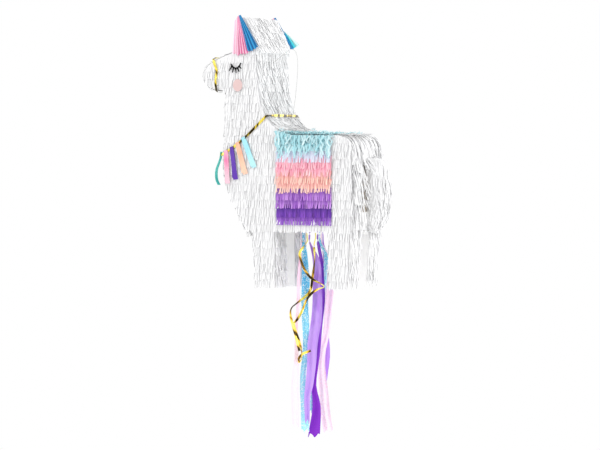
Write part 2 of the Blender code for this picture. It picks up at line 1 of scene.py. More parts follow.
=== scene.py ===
"""A llama pull pinata: fringed tissue over a card box, a striped saddle cloth, a tassel necklace, a
cord loop to hang it by, and a bunch of crepe streamers that pull open a door in its belly.

Lengths are in metres. x runs from muzzle to rump, y from the llama's left side to its right, and z
is up, with the top of the hanging loop at the origin. Names that end in _height are measured above
the soles of the feet.
"""

import json
import logging
import math
from dataclasses import dataclass, field
from enum import Enum
from typing import Callable, ClassVar, Iterable, Sequence

import bpy
import numpy as np
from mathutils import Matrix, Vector


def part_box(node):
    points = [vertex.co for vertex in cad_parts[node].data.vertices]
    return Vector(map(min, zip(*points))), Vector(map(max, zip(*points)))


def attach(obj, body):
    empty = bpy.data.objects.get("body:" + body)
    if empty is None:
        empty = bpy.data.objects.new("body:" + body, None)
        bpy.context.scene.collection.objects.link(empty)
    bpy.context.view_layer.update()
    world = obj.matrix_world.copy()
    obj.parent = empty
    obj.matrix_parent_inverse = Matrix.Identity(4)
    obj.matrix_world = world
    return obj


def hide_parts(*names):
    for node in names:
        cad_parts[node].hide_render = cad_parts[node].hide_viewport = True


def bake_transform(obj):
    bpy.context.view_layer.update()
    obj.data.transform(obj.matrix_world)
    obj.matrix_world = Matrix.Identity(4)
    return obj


log = logging.getLogger("pinata")

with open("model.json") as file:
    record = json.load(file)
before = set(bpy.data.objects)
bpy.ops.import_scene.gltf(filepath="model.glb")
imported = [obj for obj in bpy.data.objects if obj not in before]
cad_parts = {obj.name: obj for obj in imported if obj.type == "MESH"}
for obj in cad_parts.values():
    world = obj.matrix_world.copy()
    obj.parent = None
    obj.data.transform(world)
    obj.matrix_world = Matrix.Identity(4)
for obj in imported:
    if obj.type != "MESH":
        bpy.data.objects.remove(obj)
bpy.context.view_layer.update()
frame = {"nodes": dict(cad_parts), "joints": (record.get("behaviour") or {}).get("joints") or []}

Colour = tuple[float, float, float]
Point2 = tuple[float, float]
Sizes = tuple[float, ...]

UP = np.array([0.0, 0.0, 1.0])
DOWN = -UP
SOLE_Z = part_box("front_left_leg_box")[0].z - 0.002
PANEL_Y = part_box("right_side_panel")[1].y
ROW_PITCH = 0.016
STRAND = 0.0029
SHELL = "shell"


def at_height(height: float) -> float:
    """The z of a height above the soles."""
    return SOLE_Z + height


def side_name(sign: int) -> str:
    """The llama's own side: left is towards -y."""
    return "left" if sign < 0 else "right"


def unit(vectors: np.ndarray) -> np.ndarray:
    """Vectors of length one along the last axis."""
    return vectors / np.maximum(np.linalg.norm(vectors, axis=-1, keepdims=True), 1e-12)


def smooth(points: Sequence[Sequence[float]], steps: int) -> np.ndarray:
    """A Catmull-Rom curve through points.

    Args:
        points: the points that the curve passes through.
        steps: how many pieces each span between two points is cut into.

    Returns:
        The curve's points, one row each.
    """
    given = np.asarray(points, float)
    padded = np.vstack([2 * given[0] - given[1], given, 2 * given[-1] - given[-2]])
    curve = []
    for a, b, c, d in zip(padded, padded[1:], padded[2:], padded[3:]):
        for t in np.arange(steps) / steps:
            square, cube = 2 * a - 5 * b + 4 * c - d, 3 * b - a - 3 * c + d
            curve.append(0.5 * (2 * b + (c - a) * t + square * t**2 + cube * t**3))
    return np.array([*curve, given[-1]])


def along(path: np.ndarray) -> np.ndarray:
    """The distance from a path's start to each of its points."""
    return np.concatenate([[0.0], np.cumsum(np.linalg.norm(np.diff(path, axis=0), axis=1))])


def resample(path: np.ndarray, distances: np.ndarray) -> np.ndarray:
    """The points of a path at given distances from its start."""
    run = along(path)
    return np.stack([np.interp(distances, run, path[:, i]) for i in range(path.shape[1])], axis=1)


def directions(path: np.ndarray) -> np.ndarray:
    """The unit direction of a path at each of its points."""
    return unit(np.gradient(path, axis=0))


# ------------------------------------------------------------------------------- finishes


class Shader:
    """A material's node tree, or a node group's, with short ways to add and join nodes."""

    def __init__(self, tree: bpy.types.NodeTree) -> None:
        """Args: tree: the tree that nodes are added to."""
        self.tree = tree

    def add(self, kind: str, **settings: object) -> bpy.types.Node:
        """A new node, with its properties set by name."""
        node = self.tree.nodes.new(kind)
        for name, value in settings.items():
            setattr(node, name, value)
        return node

    def feed(self, node: bpy.types.Node, **sources: object) -> bpy.types.Node:
        """Links or sets a node's inputs.

        Args:
            node: the node whose inputs are fed.
            sources: an output socket or a plain value for each input, named as the input is, with
                _ for a space, or in_N for the Nth input.

        Returns:
            The same node.
        """
        for name, source in sources.items():
            place = int(name[3:]) if name.startswith("in_") else name.replace("_", " ")
            socket = node.inputs[place]
            if isinstance(source, bpy.types.NodeSocket):
                self.tree.links.new(source, socket)
            else:
                socket.default_value = source
        return node

    def maths(self, operation: str, first: object, second: object = 0.0) -> bpy.types.NodeSocket:
        """The result of one sum on numbers or sockets."""
        node = self.add("ShaderNodeMath", operation=operation)
        return self.feed(node, in_0=first, in_1=second).outputs[0]

    def mix(self, factor: object, first: object, second: object, blend: str = "MIX") -> bpy.types.NodeSocket:
        """Two colours mixed by a factor."""
        node = self.add("ShaderNodeMix", data_type="RGBA", blend_type=blend)
        return self.feed(node, in_0=factor, in_6=first, in_7=second).outputs[2]

    def noise(self, vector: object, scale: float, detail: float = 2.0) -> bpy.types.NodeSocket:
        """Smooth noise from 0 to 1."""
        node = self.add("ShaderNodeTexNoise")
        return self.feed(node, Vector=vector, Scale=scale, Detail=detail).outputs[0]

    def stretched(self, scale: tuple[float, float, float]) -> bpy.types.NodeSocket:
        """The piece's own coordinates, scaled."""
        place = self.add("ShaderNodeTexCoord").outputs["Object"]
        return self.feed(self.add("ShaderNodeMapping"), Vector=place, Scale=scale).outputs[0]

    def between(self, value: object, low: float, high: float) -> bpy.types.NodeSocket:
        """A value that runs from 0 to 1 as the given one goes from low to high."""
        node = self.add("ShaderNodeMapRange", interpolation_type="SMOOTHSTEP")
        return self.feed(node, Value=value, From_Min=low, From_Max=high).outputs[0]


class Sort(Enum):
    """The kinds of socket that the node groups use."""

    NUMBER = "NodeSocketFloat"
    COLOUR = "NodeSocketColor"


Sockets = dict[str, Sort]


def node_group(
    name: str, inputs: Sockets, outputs: Sockets, build: Callable[[Shader, bpy.types.Node], dict[str, object]]
) -> bpy.types.NodeTree:
    """A shader node group, built once and shared by the materials that use it.

    Args:
        name: the group's name.
        inputs: the sort of each input.
        outputs: the sort of each output.
        build: adds the nodes, and returns the socket that feeds each output.

    Returns:
        The group's tree.
    """
    known = bpy.data.node_groups.get(name)
    if known:
        return known
    tree = bpy.data.node_groups.new(name, "ShaderNodeTree")
    for way, sockets in (("INPUT", inputs), ("OUTPUT", outputs)):
        for label, sort in sockets.items():
            tree.interface.new_socket(label, in_out=way, socket_type=sort.value)
    shader = Shader(tree)
    results = build(shader, shader.add("NodeGroupInput"))
    end = shader.add("NodeGroupOutput")
    for label, socket in results.items():
        tree.links.new(socket, end.inputs[label])
    return tree


def crinkle_group() -> bpy.types.NodeTree:
    """Fine creases pressed into thin paper, as a height and as a shade of their hollows."""

    def build(shader: Shader, given: bpy.types.Node) -> dict[str, object]:
        """Long creases down the strip and fine ones across it."""
        long_creases = shader.noise(shader.stretched((420, 420, 38)), 1.0, 3.0)
        cross_creases = shader.noise(shader.stretched((160, 160, 700)), 1.0, 2.0)
        both = shader.maths(
            "ADD", long_creases, shader.maths("MULTIPLY", cross_creases, given.outputs["Cross"])
        )
        crease_shade = shader.between(both, 0.95, 0.45)
        shade = shader.maths("MULTIPLY", crease_shade, given.outputs["Hollow"])
        return {"Height": shader.maths("MULTIPLY", both, given.outputs["Depth"]), "Shade": shade}

    return node_group(
        "paper_creases",
        {"Depth": Sort.NUMBER, "Cross": Sort.NUMBER, "Hollow": Sort.NUMBER},
        {"Height": Sort.NUMBER, "Shade": Sort.NUMBER},
        build,
    )


def strand_tone_group() -> bpy.types.NodeTree:
    """A colour shifted a little from strand to strand, as dye and light differ, with a painted shade towards
    the roots, where each row lies under the one above.
    """

    def build(shader: Shader, given: bpy.types.Node) -> dict[str, object]:
        """Mixes by the tone that each strand carries, and by how far down it a point is for the painted root
        shade.
        """
        tone = shader.add("ShaderNodeAttribute", attribute_name="tone").outputs["Fac"]
        tip = shader.add("ShaderNodeAttribute", attribute_name="tip").outputs["Fac"]
        toned = shader.mix(tone, given.outputs["Colour"], given.outputs["Other"])
        # Painted shade: near the roots the strands darken towards the Root colour, by Root Shade.
        root = shader.maths("MULTIPLY", shader.between(tip, 0.82, 0.36), given.outputs["Root Shade"])
        return {"Colour": shader.mix(root, toned, given.outputs["Root"])}

    sockets = {"Colour": Sort.COLOUR, "Other": Sort.COLOUR, "Root": Sort.COLOUR, "Root Shade": Sort.NUMBER}
    return node_group("strand_tone", sockets, {"Colour": Sort.COLOUR}, build)


def speckle_group() -> bpy.types.NodeTree:
    """Small bright flecks, as where glitter or bare paper shows through the dye."""

    def build(shader: Shader, given: bpy.types.Node) -> dict[str, object]:
        """Cells of a fixed size, of which the brightest few are flecks."""
        cells = shader.add("ShaderNodeTexVoronoi", feature="F1")
        shader.feed(cells, Vector=shader.stretched((900, 900, 620)), Scale=1.0, Randomness=1.0)
        picked = shader.add("ShaderNodeSeparateColor")
        shader.feed(picked, Color=cells.outputs["Color"])
        share = shader.maths("SUBTRACT", 1.0, given.outputs["Share"])
        mask = shader.maths("GREATER_THAN", picked.outputs[0], share)
        return {"Colour": shader.mix(mask, given.outputs["Colour"], given.outputs["Fleck"]), "Mask": mask}

    inputs = {"Colour": Sort.COLOUR, "Fleck": Sort.COLOUR, "Share": Sort.NUMBER}
    return node_group("speckles", inputs, {"Colour": Sort.COLOUR, "Mask": Sort.NUMBER}, build)


def fibre_group() -> bpy.types.NodeTree:
    """Card stock: long fibres, small dark specks and the faint lines of the flutes beneath."""

    def build(shader: Shader, given: bpy.types.Node) -> dict[str, object]:
        """Mixes the two colours by the fibres, and lifts the surface along each flute."""
        fibres = shader.noise(shader.stretched((900, 900, 130)), 1.0, 4.0)
        blotches = shader.noise(shader.stretched((30, 30, 30)), 1.0, 3.0)
        flutes = shader.add("ShaderNodeTexWave", bands_direction="Z")
        shader.feed(flutes, Vector=shader.stretched((1, 1, 1)), Scale=given.outputs["Flutes"], Distortion=0.4)
        specks = shader.between(shader.noise(shader.stretched((1500, 1500, 1500)), 1.0, 1.0), 0.70, 0.76)
        amount = shader.maths("MULTIPLY", shader.maths("ADD", fibres, blotches), 0.5)
        plain = shader.mix(amount, given.outputs["Colour"], given.outputs["Other"])
        height = shader.maths("ADD", shader.maths("MULTIPLY", flutes.outputs["Fac"], 0.5), fibres)
        dark = shader.mix(1.0, plain, (0.45, 0.42, 0.40, 1), "MULTIPLY")
        return {"Colour": shader.mix(specks, plain, dark), "Height": height}

    inputs = {"Colour": Sort.COLOUR, "Other": Sort.COLOUR, "Flutes": Sort.NUMBER}
    return node_group("card_fibre", inputs, {"Colour": Sort.COLOUR, "Height": Sort.NUMBER}, build)


def rgba(colour: Colour) -> tuple[float, float, float, float]:
    """A colour with full alpha."""
    return (*colour, 1.0)


@dataclass(frozen=True)
class Finish:
    """What every finish has: a name, and the sockets of the shader that are the same all over."""

    name: str

    def start(self, **sockets: object) -> tuple[bpy.types.Material, Shader, bpy.types.Node]:
        """A new material with its Principled shader's constant sockets set.

        Args:
            sockets: a value for each constant socket, with _ for a space.

        Returns:
            The material, its tree's helper and its Principled shader.
        """
        material = bpy.data.materials.new(self.name)
        material.use_nodes = True
        shader = Shader(material.node_tree)
        principled = material.node_tree.nodes["Principled BSDF"]
        shader.feed(principled, **sockets)
        return material, shader, principled

    def bump(
        self, shader: Shader, principled: bpy.types.Node, height: object, strength: float, distance: float
    ) -> None:
        """Feeds a height into the shader's normal."""
        node = shader.feed(shader.add("ShaderNodeBump"), Height=height, Strength=strength, Distance=distance)
        shader.feed(principled, Normal=node.outputs[0])


@dataclass(frozen=True)
class Tissue(Finish):
    """Cut tissue paper: matt, creased, and a little different from strand to strand, with a painted shade at
    the strands' roots and in the creases' hollows.
    """

    colour: Colour
    other: Colour
    # root is a painted shade colour, which the roots and the crease hollows take; root_shade is how much of
    # it the roots take.
    root: Colour
    root_shade: float = 0.35
    crease: float = 0.5
    roughness: float = 0.82

    def dress(self) -> bpy.types.Material:
        """The tissue's material."""
        material, shader, principled = self.start(
            Sheen_Weight=0.15, Sheen_Roughness=0.6, Specular_IOR_Level=0.25
        )
        toned = shader.add("ShaderNodeGroup", node_tree=strand_tone_group())
        shader.feed(toned, Colour=rgba(self.colour), Other=rgba(self.other), Root=rgba(self.root))
        shader.feed(toned, Root_Shade=self.root_shade)
        creases = shader.add("ShaderNodeGroup", node_tree=crinkle_group())
        shader.feed(creases, Depth=self.crease, Cross=0.35, Hollow=0.22)
        # Painted shade: the crease hollows darken towards the root colour.
        crease_shaded = shader.mix(creases.outputs["Shade"], toned.outputs["Colour"], rgba(self.root))
        rough = shader.between(creases.outputs["Height"], -2.2, 1.6)
        shader.feed(
            principled, Base_Color=crease_shaded, Roughness=shader.maths("MULTIPLY", rough, self.roughness * 1.1)
        )
        self.bump(shader, principled, creases.outputs["Height"], 0.45, 0.0006)
        return material


@dataclass(frozen=True)
class Crepe(Finish):
    """Crepe or film ribbon: creased across, dyed unevenly, with a painted shade in its crease hollows, and
    flecked where it glitters.
    """

    colour: Colour
    other: Colour
    tail: Colour
    fleck: Colour = (0.9, 0.97, 1.0)
    share: float = 0.0
    roughness: float = 0.55
    tail_start: float = 0.5

    def dress(self) -> bpy.types.Material:
        """The streamer's material, which shifts towards the tail's colour along its length."""
        material, shader, principled = self.start(
            Sheen_Weight=0.1, Sheen_Roughness=0.5, Specular_IOR_Level=0.4
        )
        run = shader.add("ShaderNodeAttribute", attribute_name="tip").outputs["Fac"]
        cloud = shader.noise(shader.stretched((90, 90, 26)), 1.0, 3.0)
        dyed = shader.mix(shader.between(cloud, 0.3, 0.7), rgba(self.colour), rgba(self.other))
        faded = shader.mix(
            shader.between(run, self.tail_start - 0.2, self.tail_start + 0.35), dyed, rgba(self.tail)
        )
        creases = shader.add("ShaderNodeGroup", node_tree=crinkle_group())
        shader.feed(creases, Depth=0.6, Cross=0.9, Hollow=0.25)
        # Painted shade: the crease hollows darken.
        crease_shade = shader.mix(1.0, faded, (0.62, 0.58, 0.66, 1), "MULTIPLY")
        toned = shader.mix(creases.outputs["Shade"], faded, crease_shade)
        flecks = shader.add("ShaderNodeGroup", node_tree=speckle_group())
        shader.feed(flecks, Colour=toned, Fleck=rgba(self.fleck), Share=self.share)
        glint = shader.maths("MULTIPLY", flecks.outputs["Mask"], 0.3)
        rough = shader.maths("SUBTRACT", self.roughness, glint)
        shader.feed(principled, Base_Color=flecks.outputs["Colour"], Roughness=rough)
        self.bump(shader, principled, creases.outputs["Height"], 0.6, 0.0008)
        return material


@dataclass(frozen=True)
class Foil(Finish):
    """Metallised curling ribbon: gold, with painted reflections: dark and bright bands from noise along its
    length, and a painted highlight along its edges.
    """

    # bright is the gold; dark is a painted dark reflection; streak is the scale of the noise that lays the
    # painted bands, and turn the noise level above which a band is gold.
    bright: Colour
    dark: Colour
    streak: float = 34.0
    turn: float = 0.46

    def dress(self) -> bpy.types.Material:
        """The foil's material."""
        material, shader, principled = self.start(Metallic=0.8, Coat_Weight=0.04, Coat_Roughness=0.2)
        run = shader.add("ShaderNodeAttribute", attribute_name="run").outputs["Fac"]
        across = shader.add("ShaderNodeAttribute", attribute_name="across").outputs["Fac"]
        bands = shader.add("ShaderNodeTexNoise", noise_dimensions="1D")
        slant = shader.maths("ADD", run, shader.maths("MULTIPLY", across, 0.0035))
        shader.feed(bands, W=slant, Scale=self.streak, Detail=2.5)
        # Painted reflection and highlight: the edges and the bands where the noise is high show the gold, the
        # rest the dark colour as a painted dark reflection, and the brightest bands mix towards pale yellow
        # as a painted highlight.
        edge = shader.between(shader.maths("ABSOLUTE", across, 0.0), 0.75, 1.0)
        bright_bands = shader.between(bands.outputs[0], self.turn, self.turn + 0.08)
        bright = shader.maths("MAXIMUM", shader.maths("MULTIPLY", edge, 0.5), bright_bands)
        shade = shader.noise(shader.stretched((300, 300, 300)), 1.0, 2.0)
        highlight_mask = shader.between(bands.outputs[0], self.turn + 0.04, self.turn + 0.16)
        gold = shader.mix(highlight_mask, rgba(self.bright), (0.98, 0.86, 0.16, 1))
        shader.feed(principled, Base_Color=shader.mix(bright, rgba(self.dark), gold))
        shader.feed(principled, Roughness=shader.between(shade, -0.4, 2.6))
        self.bump(shader, principled, shade, 0.25, 0.0003)
        return material


@dataclass(frozen=True)
class Card(Finish):
    """Greyboard, bare or lined with white paper."""

    colour: Colour
    other: Colour
    flutes: float = 90.0

    def dress(self) -> bpy.types.Material:
        """The card's material."""
        material, shader, principled = self.start(Specular_IOR_Level=0.2)
        fibre = shader.add("ShaderNodeGroup", node_tree=fibre_group())
        shader.feed(fibre, Colour=rgba(self.colour), Other=rgba(self.other), Flutes=self.flutes)
        rough = shader.between(fibre.outputs["Height"], -3.0, 1.6)
        shader.feed(principled, Base_Color=fibre.outputs["Colour"], Roughness=rough)
        self.bump(shader, principled, fibre.outputs["Height"], 0.35, 0.0004)
        return material


@dataclass(frozen=True)
class Sticker(Finish):
    """A printed paper sticker with a faint tooth."""

    colour: Colour
    roughness: float

    def dress(self) -> bpy.types.Material:
        """The sticker's material."""
        material, shader, principled = self.start(Specular_IOR_Level=0.15)
        tooth = shader.noise(shader.stretched((1600, 1600, 1600)), 1.0, 2.0)
        faint = shader.mix(1.0, rgba(self.colour), (0.86, 0.84, 0.86, 1), "MULTIPLY")
        shader.feed(principled, Base_Color=shader.mix(tooth, rgba(self.colour), faint))
        shader.feed(principled, Roughness=shader.between(tooth, -self.roughness, 1.6))
        self.bump(shader, principled, tooth, 0.3, 0.0002)
        return material


@dataclass(frozen=True)
class Twine(Finish):
    """Thin twisted cotton cord, with a painted shade in the grooves between its plies."""

    colour: Colour
    pitch: float = 620.0

    def dress(self) -> bpy.types.Material:
        """The cord's material."""
        material, shader, principled = self.start(Sheen_Weight=0.3, Sheen_Roughness=0.5)
        plies = shader.add("ShaderNodeTexWave", bands_direction="DIAGONAL")
        shader.feed(plies, Vector=shader.stretched((1, 1, 1)), Scale=self.pitch, Distortion=1.0)
        # Painted shade: the colour darkens where the plies' height is low, in the grooves between them.
        dark = shader.mix(1.0, rgba(self.colour), (0.80, 0.80, 0.80, 1), "MULTIPLY")
        shader.feed(principled, Base_Color=shader.mix(plies.outputs["Fac"], dark, rgba(self.colour)))
        shader.feed(principled, Roughness=shader.between(plies.outputs["Fac"], -4.0, 1.4))
        self.bump(shader, principled, plies.outputs["Fac"], 0.6, 0.0003)
        return material


# The third colour of each tissue is a painted shade, for the strands' roots and the crease hollows.
WHITE = Tissue("white_tissue", (0.915, 0.915, 0.915), (0.86, 0.86, 0.865), (0.76, 0.76, 0.775), 0.25, 0.3)
# The gold foils' second colour is a painted dark reflection.
GOLD = Foil("gold_foil", (0.80, 0.56, 0.04), (0.022, 0.016, 0.003), 40.0, 0.47)
CURLED_GOLD = Foil("curled_gold_foil", (0.74, 0.40, 0.03), (0.030, 0.020, 0.004), 30.0, 0.43)
BARE_CARD = Card("bare_card", (0.40, 0.34, 0.27), (0.30, 0.25, 0.19))
LINED_CARD = Card("lined_card", (0.86, 0.86, 0.855), (0.79, 0.785, 0.78), 60.0)
TAPE = Sticker("paper_tape", (0.80, 0.78, 0.72), 0.5)
LINING = Tissue("lining_tissue", (0.96, 0.96, 0.955), (0.93, 0.93, 0.93), (0.74, 0.73, 0.72), 0.0, 1.1)
COTTON = Twine("white_cotton", (0.74, 0.74, 0.73))
INK = Sticker("black_ink", (0.006, 0.006, 0.007), 0.6)
BLUSH = Sticker("blush_paper", (0.76, 0.56, 0.54), 0.8)


class Wardrobe:
    """The materials made so far, one for each finish."""

    made: dict[str, bpy.types.Material] = {}

    @classmethod
    def of(cls, finish: Finish) -> bpy.types.Material:
        """The finish's material, made on its first use."""
        if finish.name not in cls.made:
            cls.made[finish.name] = finish.dress()
        return cls.made[finish.name]


# ------------------------------------------------------------------------------- meshes


def add_piece(
    name: str, mesh: bpy.types.Mesh, finish: Finish, body: str, nodes: Iterable[str] = ()
) -> bpy.types.Object:
    """Puts a finished mesh into the scene as a piece of the pinata.

    Args:
        name: the piece's name.
        mesh: its mesh, in the frame's own coordinates.
        finish: what it is made of.
        body: the body that it moves with.
        nodes: the plain solids that it stands for.

    Returns:
        The piece.
    """
    piece = bpy.data.objects.new(name, mesh)
    bpy.context.scene.collection.objects.link(piece)
    mesh.materials.append(Wardrobe.of(finish))
    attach(piece, body)
    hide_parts(*nodes)
    log.info("%s: %d faces on %s", name, len(mesh.polygons), body)
    return piece


def sheet_mesh(
    name: str, grid: np.ndarray, layers: dict[str, np.ndarray], closed: bool = False
) -> bpy.types.Mesh:
    """A mesh through a grid of points.

    Args:
        name: the mesh's name.
        grid: points as (rows, columns, 3), or (strips, rows, columns, 3) for many strips in one mesh.
        layers: a value at each point, by the name of the attribute that holds it.
        closed: whether the last row joins the first.

    Returns:
        The mesh, shaded smooth.
    """
    grids = grid if grid.ndim == 4 else grid[None]
    strips, rows, columns = grids.shape[:3]
    index = np.arange(strips * rows * columns).reshape(strips, rows, columns)
    upper = index if closed else index[:, :-1]
    lower = np.roll(index, -1, axis=1) if closed else index[:, 1:]
    corners = [upper[:, :, :-1], upper[:, :, 1:], lower[:, :, 1:], lower[:, :, :-1]]
    faces = np.stack(corners, axis=-1).reshape(-1, 4)
    mesh = bpy.data.meshes.new(name)
    mesh.from_pydata(grids.reshape(-1, 3).tolist(), [], faces.tolist())
    for label, values in layers.items():
        layer = mesh.attributes.new(label, "FLOAT", "POINT")
        layer.data.foreach_set("value", np.broadcast_to(values, grids.shape[:3]).astype(np.float32).ravel())
    mesh.shade_smooth()
    return mesh


@dataclass(frozen=True)
class Cut:
    """How a row of fringe was cut and how it lies.

    Args:
        length: of a strand.
        width: of a strand.
        lift: how far the tips stand off the surface.
        splay: how far the strands lean aside, as a share of their length.
        twist: how far they turn about their own length, in radians.
        bulge: how far they puff out between root and tip.
        droop: how much of their direction gravity takes by the tip.
        uneven: the spread of their lengths, as a share.
        wave: the depth of the waves along them.
        taper: how much narrower the tip is, as a share.
        segments: how many faces long a strand is.
        tones: how far the strands' tones differ.
    """

    length: float = 0.027
    width: float = STRAND
    lift: float = 0.0035
    splay: float = 0.07
    twist: float = 0.35
    bulge: float = 0.0004
    droop: float = 0.0
    uneven: float = 0.07
    wave: float = 0.0002
    taper: float = 0.10
    segments: int = 5
    tones: float = 0.22


NEAT = Cut(splay=0.05, twist=0.28)
Cap = Callable[[np.ndarray], np.ndarray]


class Fringe:
    """Strands of cut paper gathered into one piece."""

    COLUMNS = (-1.0, 0.0, 1.0)

    def __init__(self, seed: int, cap: Cap | None = None) -> None:
        """Args: seed: of the strands' differences. cap: how far off the surface a point may stand."""
        self.rng = np.random.default_rng(seed)
        self.cap = cap
        self.grids: dict[int, list[np.ndarray]] = {}
        self.tones: dict[int, list[np.ndarray]] = {}

    def spread(self, count: int, size: float) -> np.ndarray:
        """Random numbers about 0 for count strands, shaped to work on their points."""
        return self.rng.normal(0.0, size, count)[:, None, None]

    def hang(
        self,
        roots: np.ndarray,
        fall: np.ndarray,
        out: np.ndarray,
        cut: Cut,
        length: np.ndarray | float,
        tone: float = 0.5,
    ) -> None:
        """Lays straight strands on a flat face.

        Args:
            roots: where the strands are glued, one row each.
            fall: the direction in which they start, for all or for each.
            out: the direction away from the surface, for all or for each.
            cut: how they are cut and lie.
            length: their lengths.
            tone: the middle of the strands' tones.
        """
        count = len(roots)
        reach = np.broadcast_to(length, (count,)) * (1 + cut.uneven * self.rng.uniform(-1, 1, count))
        t = np.linspace(0, 1, cut.segments + 1)[None, :, None]
        falls = np.broadcast_to(fall, (count, 3))[:, None, :]
        outs = np.broadcast_to(np.broadcast_to(out, (count, 3))[:, None, :], (count, cut.segments + 1, 3))
        self.lay(roots[:, None, :] + falls * reach[:, None, None] * t, outs, cut, tone)

    def lay(self, track: np.ndarray, outs: np.ndarray, cut: Cut, tone: float = 0.5) -> None:
        """Lays strands along tracks on a surface.

        Args:
            track: the points that each strand follows on the surface, (strands, points, 3).
            outs: the direction away from the surface at each of them.
            cut: how the strands are cut and lie.
            tone: the middle of the strands' tones.
        """
        count = len(track)
        t = np.linspace(0, 1, cut.segments + 1)[None, :, None]
        falls = unit(np.gradient(track, axis=1))
        sides = unit(np.cross(falls, outs))
        reach = np.linalg.norm(np.diff(track, axis=1), axis=2).sum(axis=1)[:, None, None]
        ratio = np.minimum(reach / cut.length, 1.0)
        lift = cut.lift * ratio * self.rng.beta(1.2, 2.6, count)[:, None, None] * 2
        phase = self.rng.uniform(0, math.tau, count)[:, None, None]
        centre = track + (DOWN - falls[:, :1]) * cut.droop * reach * t**2 / 2
        centre = centre + sides * (self.spread(count, cut.splay) * reach * t**1.6)
        centre = centre + sides * np.sin(phase + t * 7) * cut.wave * 2
        puff = cut.bulge * self.rng.uniform(0.2, 1.0, count)[:, None, None] * np.sin(math.pi * t)
        raised = 0.0003 + 0.0007 * t + lift * t**1.7 + puff + np.sin(phase * 2 + t * 9) * cut.wave
        half = cut.width / 2 * self.rng.uniform(0.78, 1.06, count)[:, None, None] * (1 - cut.taper * t**3)
        angle = self.spread(count, cut.twist) * t
        wide = sides * np.cos(angle) + outs * np.sin(angle)
        fold = self.spread(count, 0.0003)
        columns = []
        for u in self.COLUMNS:
            offset = wide * (half * u) + outs * (fold * (1 - abs(u)))
            rise = np.sum(offset * outs, axis=-1, keepdims=True)
            flat = centre + offset - outs * rise
            stand = np.maximum(raised + rise, 0.0002)
            if self.cap is not None:
                stand = np.minimum(stand, self.cap(flat)[..., None])
            columns.append(flat + outs * stand)
        tones = np.clip(tone + self.rng.normal(0, cut.tones, count), 0, 1)
        self.grids.setdefault(cut.segments, []).append(np.stack(columns, axis=2))
        self.tones.setdefault(cut.segments, []).append(tones)

    def mesh(self, name: str) -> bpy.types.Mesh:
        """All the strands so far as one mesh, with each strand's tone and each point's way to the tip."""
        points, faces, tones, tips = [], [], [], []
        first = 0
        for segments, grids in self.grids.items():
            grid = np.concatenate(grids)
            count, rows, columns = grid.shape[:3]
            index = first + np.arange(count * rows * columns).reshape(count, rows, columns)
            corners = [index[:, :-1, :-1], index[:, :-1, 1:], index[:, 1:, 1:], index[:, 1:, :-1]]
            faces.append(np.stack(corners, axis=-1).reshape(-1, 4))
            points.append(grid.reshape(-1, 3))
            tone = np.concatenate(self.tones[segments])[:, None, None]
            tones.append(np.broadcast_to(tone, grid.shape[:3]).ravel())
            tip = np.linspace(0, 1, rows)[None, :, None]
            tips.append(np.broadcast_to(tip, grid.shape[:3]).ravel())
            first += count * rows * columns
        mesh = bpy.data.meshes.new(name)
        mesh.from_pydata(np.concatenate(points).tolist(), [], np.concatenate(faces).tolist())
        for label, values in (("tone", tones), ("tip", tips)):
            layer = mesh.attributes.new(label, "FLOAT", "POINT")
            layer.data.foreach_set("value", np.concatenate(values).astype(np.float32))
        mesh.shade_smooth()
        return mesh


# ------------------------------------------------------------------------------- the figure


class Outline:
    """The card figure's edge, read from a side panel: a closed loop of (x, z)."""

    def __init__(self, node: str) -> None:
        """Args: node: the side panel whose outer face gives the edge."""
        mesh = frame["nodes"][node].data
        face_y = max((v.co.y for v in mesh.vertices), key=abs)
        keys = [(round(v.co.x, 5), round(v.co.z, 5)) for v in mesh.vertices]
        count: dict[tuple[Point2, Point2], int] = {}
        for polygon in mesh.polygons:
            if all(abs(mesh.vertices[i].co.y - face_y) < 1e-4 for i in polygon.vertices):
                ring = [keys[i] for i in polygon.vertices]
                for a, b in zip(ring, ring[1:] + ring[:1]):
                    pair = (min(a, b), max(a, b))
                    count[pair] = count.get(pair, 0) + 1
        joined: dict[Point2, list[Point2]] = {}
        for a, b in (pair for pair, uses in count.items() if uses == 1):
            joined.setdefault(a, []).append(b)
            joined.setdefault(b, []).append(a)
        start = min(joined)
        loop, last, here = [start], None, start
        while True:
            onward = [p for p in joined[here] if p != last]
            last, here = here, onward[0]
            if here == start:
                break
            loop.append(here)
        points = np.array(loop)
        turn = np.sum(points[:, 0] * np.roll(points[:, 1], -1) - points[:, 1] * np.roll(points[:, 0], -1))
        self.points = points if turn < 0 else points[::-1]

    def run(self, start: Point2, end: Point2) -> np.ndarray:
        """The edge between its points nearest to two (x, height) places, in the loop's direction.

        Args:
            start: the place near which it starts.
            end: the place near which it ends.

        Returns:
            Its points, as (x, z).
        """
        places = []
        for x, height in (start, end):
            gaps = np.hypot(self.points[:, 0] - x, self.points[:, 1] - at_height(height))
            places.append(int(np.argmin(gaps)))
        first, last = places
        count = (last - first) % len(self.points)
        return np.array([self.points[(first + i) % len(self.points)] for i in range(count + 1)])

    def crossings(self, x: float) -> np.ndarray:
        """The z values at which the edge crosses the vertical line at x, in rising order."""
        a, b = self.points, np.roll(self.points, -1, axis=0)
        hit = (a[:, 0] <= x) != (b[:, 0] <= x)
        a, b = a[hit], b[hit]
        return np.sort(a[:, 1] + (b[:, 1] - a[:, 1]) * (x - a[:, 0]) / (b[:, 0] - a[:, 0]))

    def ceiling(self, x: float, z: float) -> float | None:
        """The z of the edge straight above a point, or None where the point is outside."""
        above = self.crossings(x)
        above = above[above > z]
        return float(above[0]) if len(above) % 2 else None


@dataclass(frozen=True)
class Calm:
    """A place where the fringe lies flat under something stuck to it.

    Args:
        points: the place's middle line, as (x, z).
        reach: how far from the line the fringe is held down.
        height: how far off the card it may stand there.
    """

    points: np.ndarray
    reach: float
    height: float


